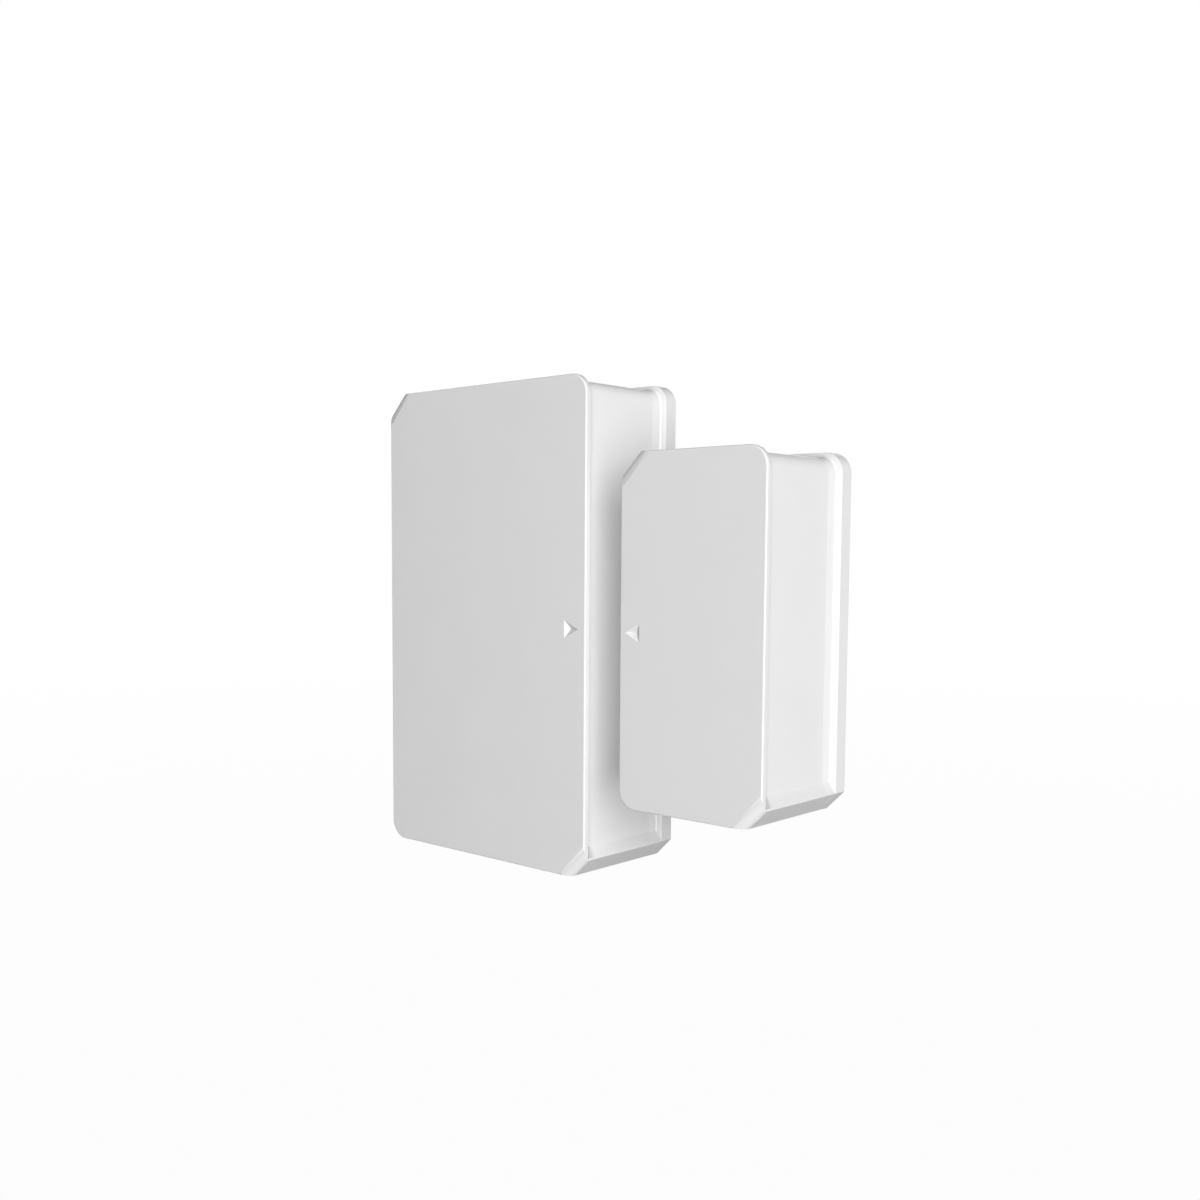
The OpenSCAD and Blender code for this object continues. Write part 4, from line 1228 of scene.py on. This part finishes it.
# CAD nodes that keep their shape and take a finish
FINISHES = {
    BASE: ("sensor_base", "magnet_base"),
    GUIDE: ("light_guide",),
    MASK: ("circuit_board",),
    STEEL: ("board_screws",),
    HOLDER: ("battery_holder",),
    NICKEL: ("battery_negative_contact", "battery_positive_contact"),
    REED_GLASS: ("reed_glass",),
    REED_METAL: ("reed_lead_upper", "reed_lead_lower"),
    RADIO_MASK: ("radio_board",),
    SHIELD: ("radio_shield",),
    SWITCH: ("tamper_switch",),
    BUTTON: ("tamper_plunger",),
    PAD_FOAM: ("sensor_adhesive_pad", "magnet_adhesive_pad"),
    MAGNET: ("bar_magnet",),
    DARK_FOAM: ("magnet_foam",),
}
for finish, nodes in FINISHES.items():
    for node in nodes:
        mesh = frame["nodes"][node].data
        mesh.materials.clear()
        mesh.materials.append(finish)


# -------- stage, lights and camera


def area_light(name, towards, distance, power):
    """A soft square light in the direction towards, seen from the object."""
    aim = Vector((0.014, -0.01, 0.0))
    data = bpy.data.lights.new(name, "AREA")
    data.shape = "RECTANGLE"
    data.size = data.size_y = 0.8
    data.energy = power
    obj = bpy.data.objects.new(name, data)
    direction = Vector(towards).normalized()
    obj.location = aim + direction * distance
    obj.rotation_mode = "QUATERNION"
    obj.rotation_quaternion = direction.to_track_quat("Z", "Y")
    bpy.context.scene.collection.objects.link(obj)


def pale_stage(low):
    """A wide pale floor under the object, which looks near white to the camera, with painted shade near
    it.
    """
    size = 6.0
    mesh = bpy.data.meshes.new("floor")
    corners = [(-size, -size, low), (size, -size, low), (size, size, low), (-size, size, low)]
    mesh.from_pydata(corners, [], [(0, 1, 2, 3)])
    obj = bpy.data.objects.new("floor", mesh)
    bpy.context.scene.collection.objects.link(obj)
    n = Nodes("pale_floor")
    path = n.add("ShaderNodeLightPath").outputs["Is Camera Ray"]
    # painted shade: the floor's glow for the camera is 0.98 near the object, rising to 1.0 further out
    away = n.add("ShaderNodeVectorMath", {0: n.where}, operation="LENGTH").outputs["Value"]
    level = n.span(away, 0.98, 1.0, (0.1, 0.9))
    seen = n.add("ShaderNodeEmission", {"Color": (1, 1, 1, 1), "Strength": level})
    n.set(Base_Color=(0.4, 0.4, 0.4, 1.0), Roughness=0.9)
    mixed = n.add("ShaderNodeMixShader")
    n.feed(mixed.inputs[0], path)
    n.feed(mixed.inputs[1], n.shader.outputs[0])
    n.feed(mixed.inputs[2], seen.outputs[0])
    output = n.tree.nodes["Material Output"]
    n.feed(output.inputs["Surface"], mixed.outputs[0])
    mesh.materials.append(n.material)
    obj.visible_shadow = False


def studio_world(fill):
    """White for the camera, and a weak even fill for everything else."""
    world = bpy.data.worlds.new("studio")
    bpy.context.scene.world = world
    world.use_nodes = True
    tree = world.node_tree
    tree.nodes.clear()
    path = tree.nodes.new("ShaderNodeLightPath")
    mix = tree.nodes.new("ShaderNodeMixShader")
    out = tree.nodes.new("ShaderNodeOutputWorld")
    tree.links.new(path.outputs["Is Camera Ray"], mix.inputs[0])
    for k, strength in ((1, fill), (2, 1.0)):
        white = tree.nodes.new("ShaderNodeBackground")
        white.inputs["Color"].default_value = (1, 1, 1, 1)
        white.inputs["Strength"].default_value = strength
        tree.links.new(white.outputs[0], mix.inputs[k])
    tree.links.new(mix.outputs[0], out.inputs["Surface"])


FLOOR_DROP = 0.045
pale_stage(cad_box[0].z - FLOOR_DROP)
studio_world(0.05)
area_light("key", (0.765, -0.6, 0.16), 0.8, 10.0)
area_light("back_fill", (-0.5, 0.8, 0.05), 1.0, 6.5)


def add_camera():
    """The photograph's viewpoint: to the right of the object, level with its upper half."""
    yaw, pitch, roll = (math.radians(a) for a in (42.77, -4.65, 0.23))
    ahead = Vector(
        (-math.sin(yaw) * math.cos(pitch), math.cos(yaw) * math.cos(pitch), math.sin(pitch))
    )
    level = Vector((math.cos(yaw), math.sin(yaw), 0))
    above = level.cross(ahead)
    right = level * math.cos(roll) + above * math.sin(roll)
    up = right.cross(ahead)
    data = bpy.data.cameras.new("camera")
    data.sensor_width = 36.0
    data.lens = 38.37
    data.shift_x = 0.0372
    data.shift_y = 0.0465
    data.clip_start = 0.01
    data.clip_end = 20.0
    camera = bpy.data.objects.new("camera", data)
    camera.rotation_mode = "QUATERNION"
    camera.rotation_quaternion = Matrix((right, up, -ahead)).transposed().to_quaternion()
    camera.location = (0.1366, -0.1513, 0.0107)
    bpy.context.scene.collection.objects.link(camera)
    bpy.context.scene.camera = camera


add_camera()
bpy.context.scene.view_settings.view_transform = "Standard"
bpy.context.scene.view_settings.look = "None"
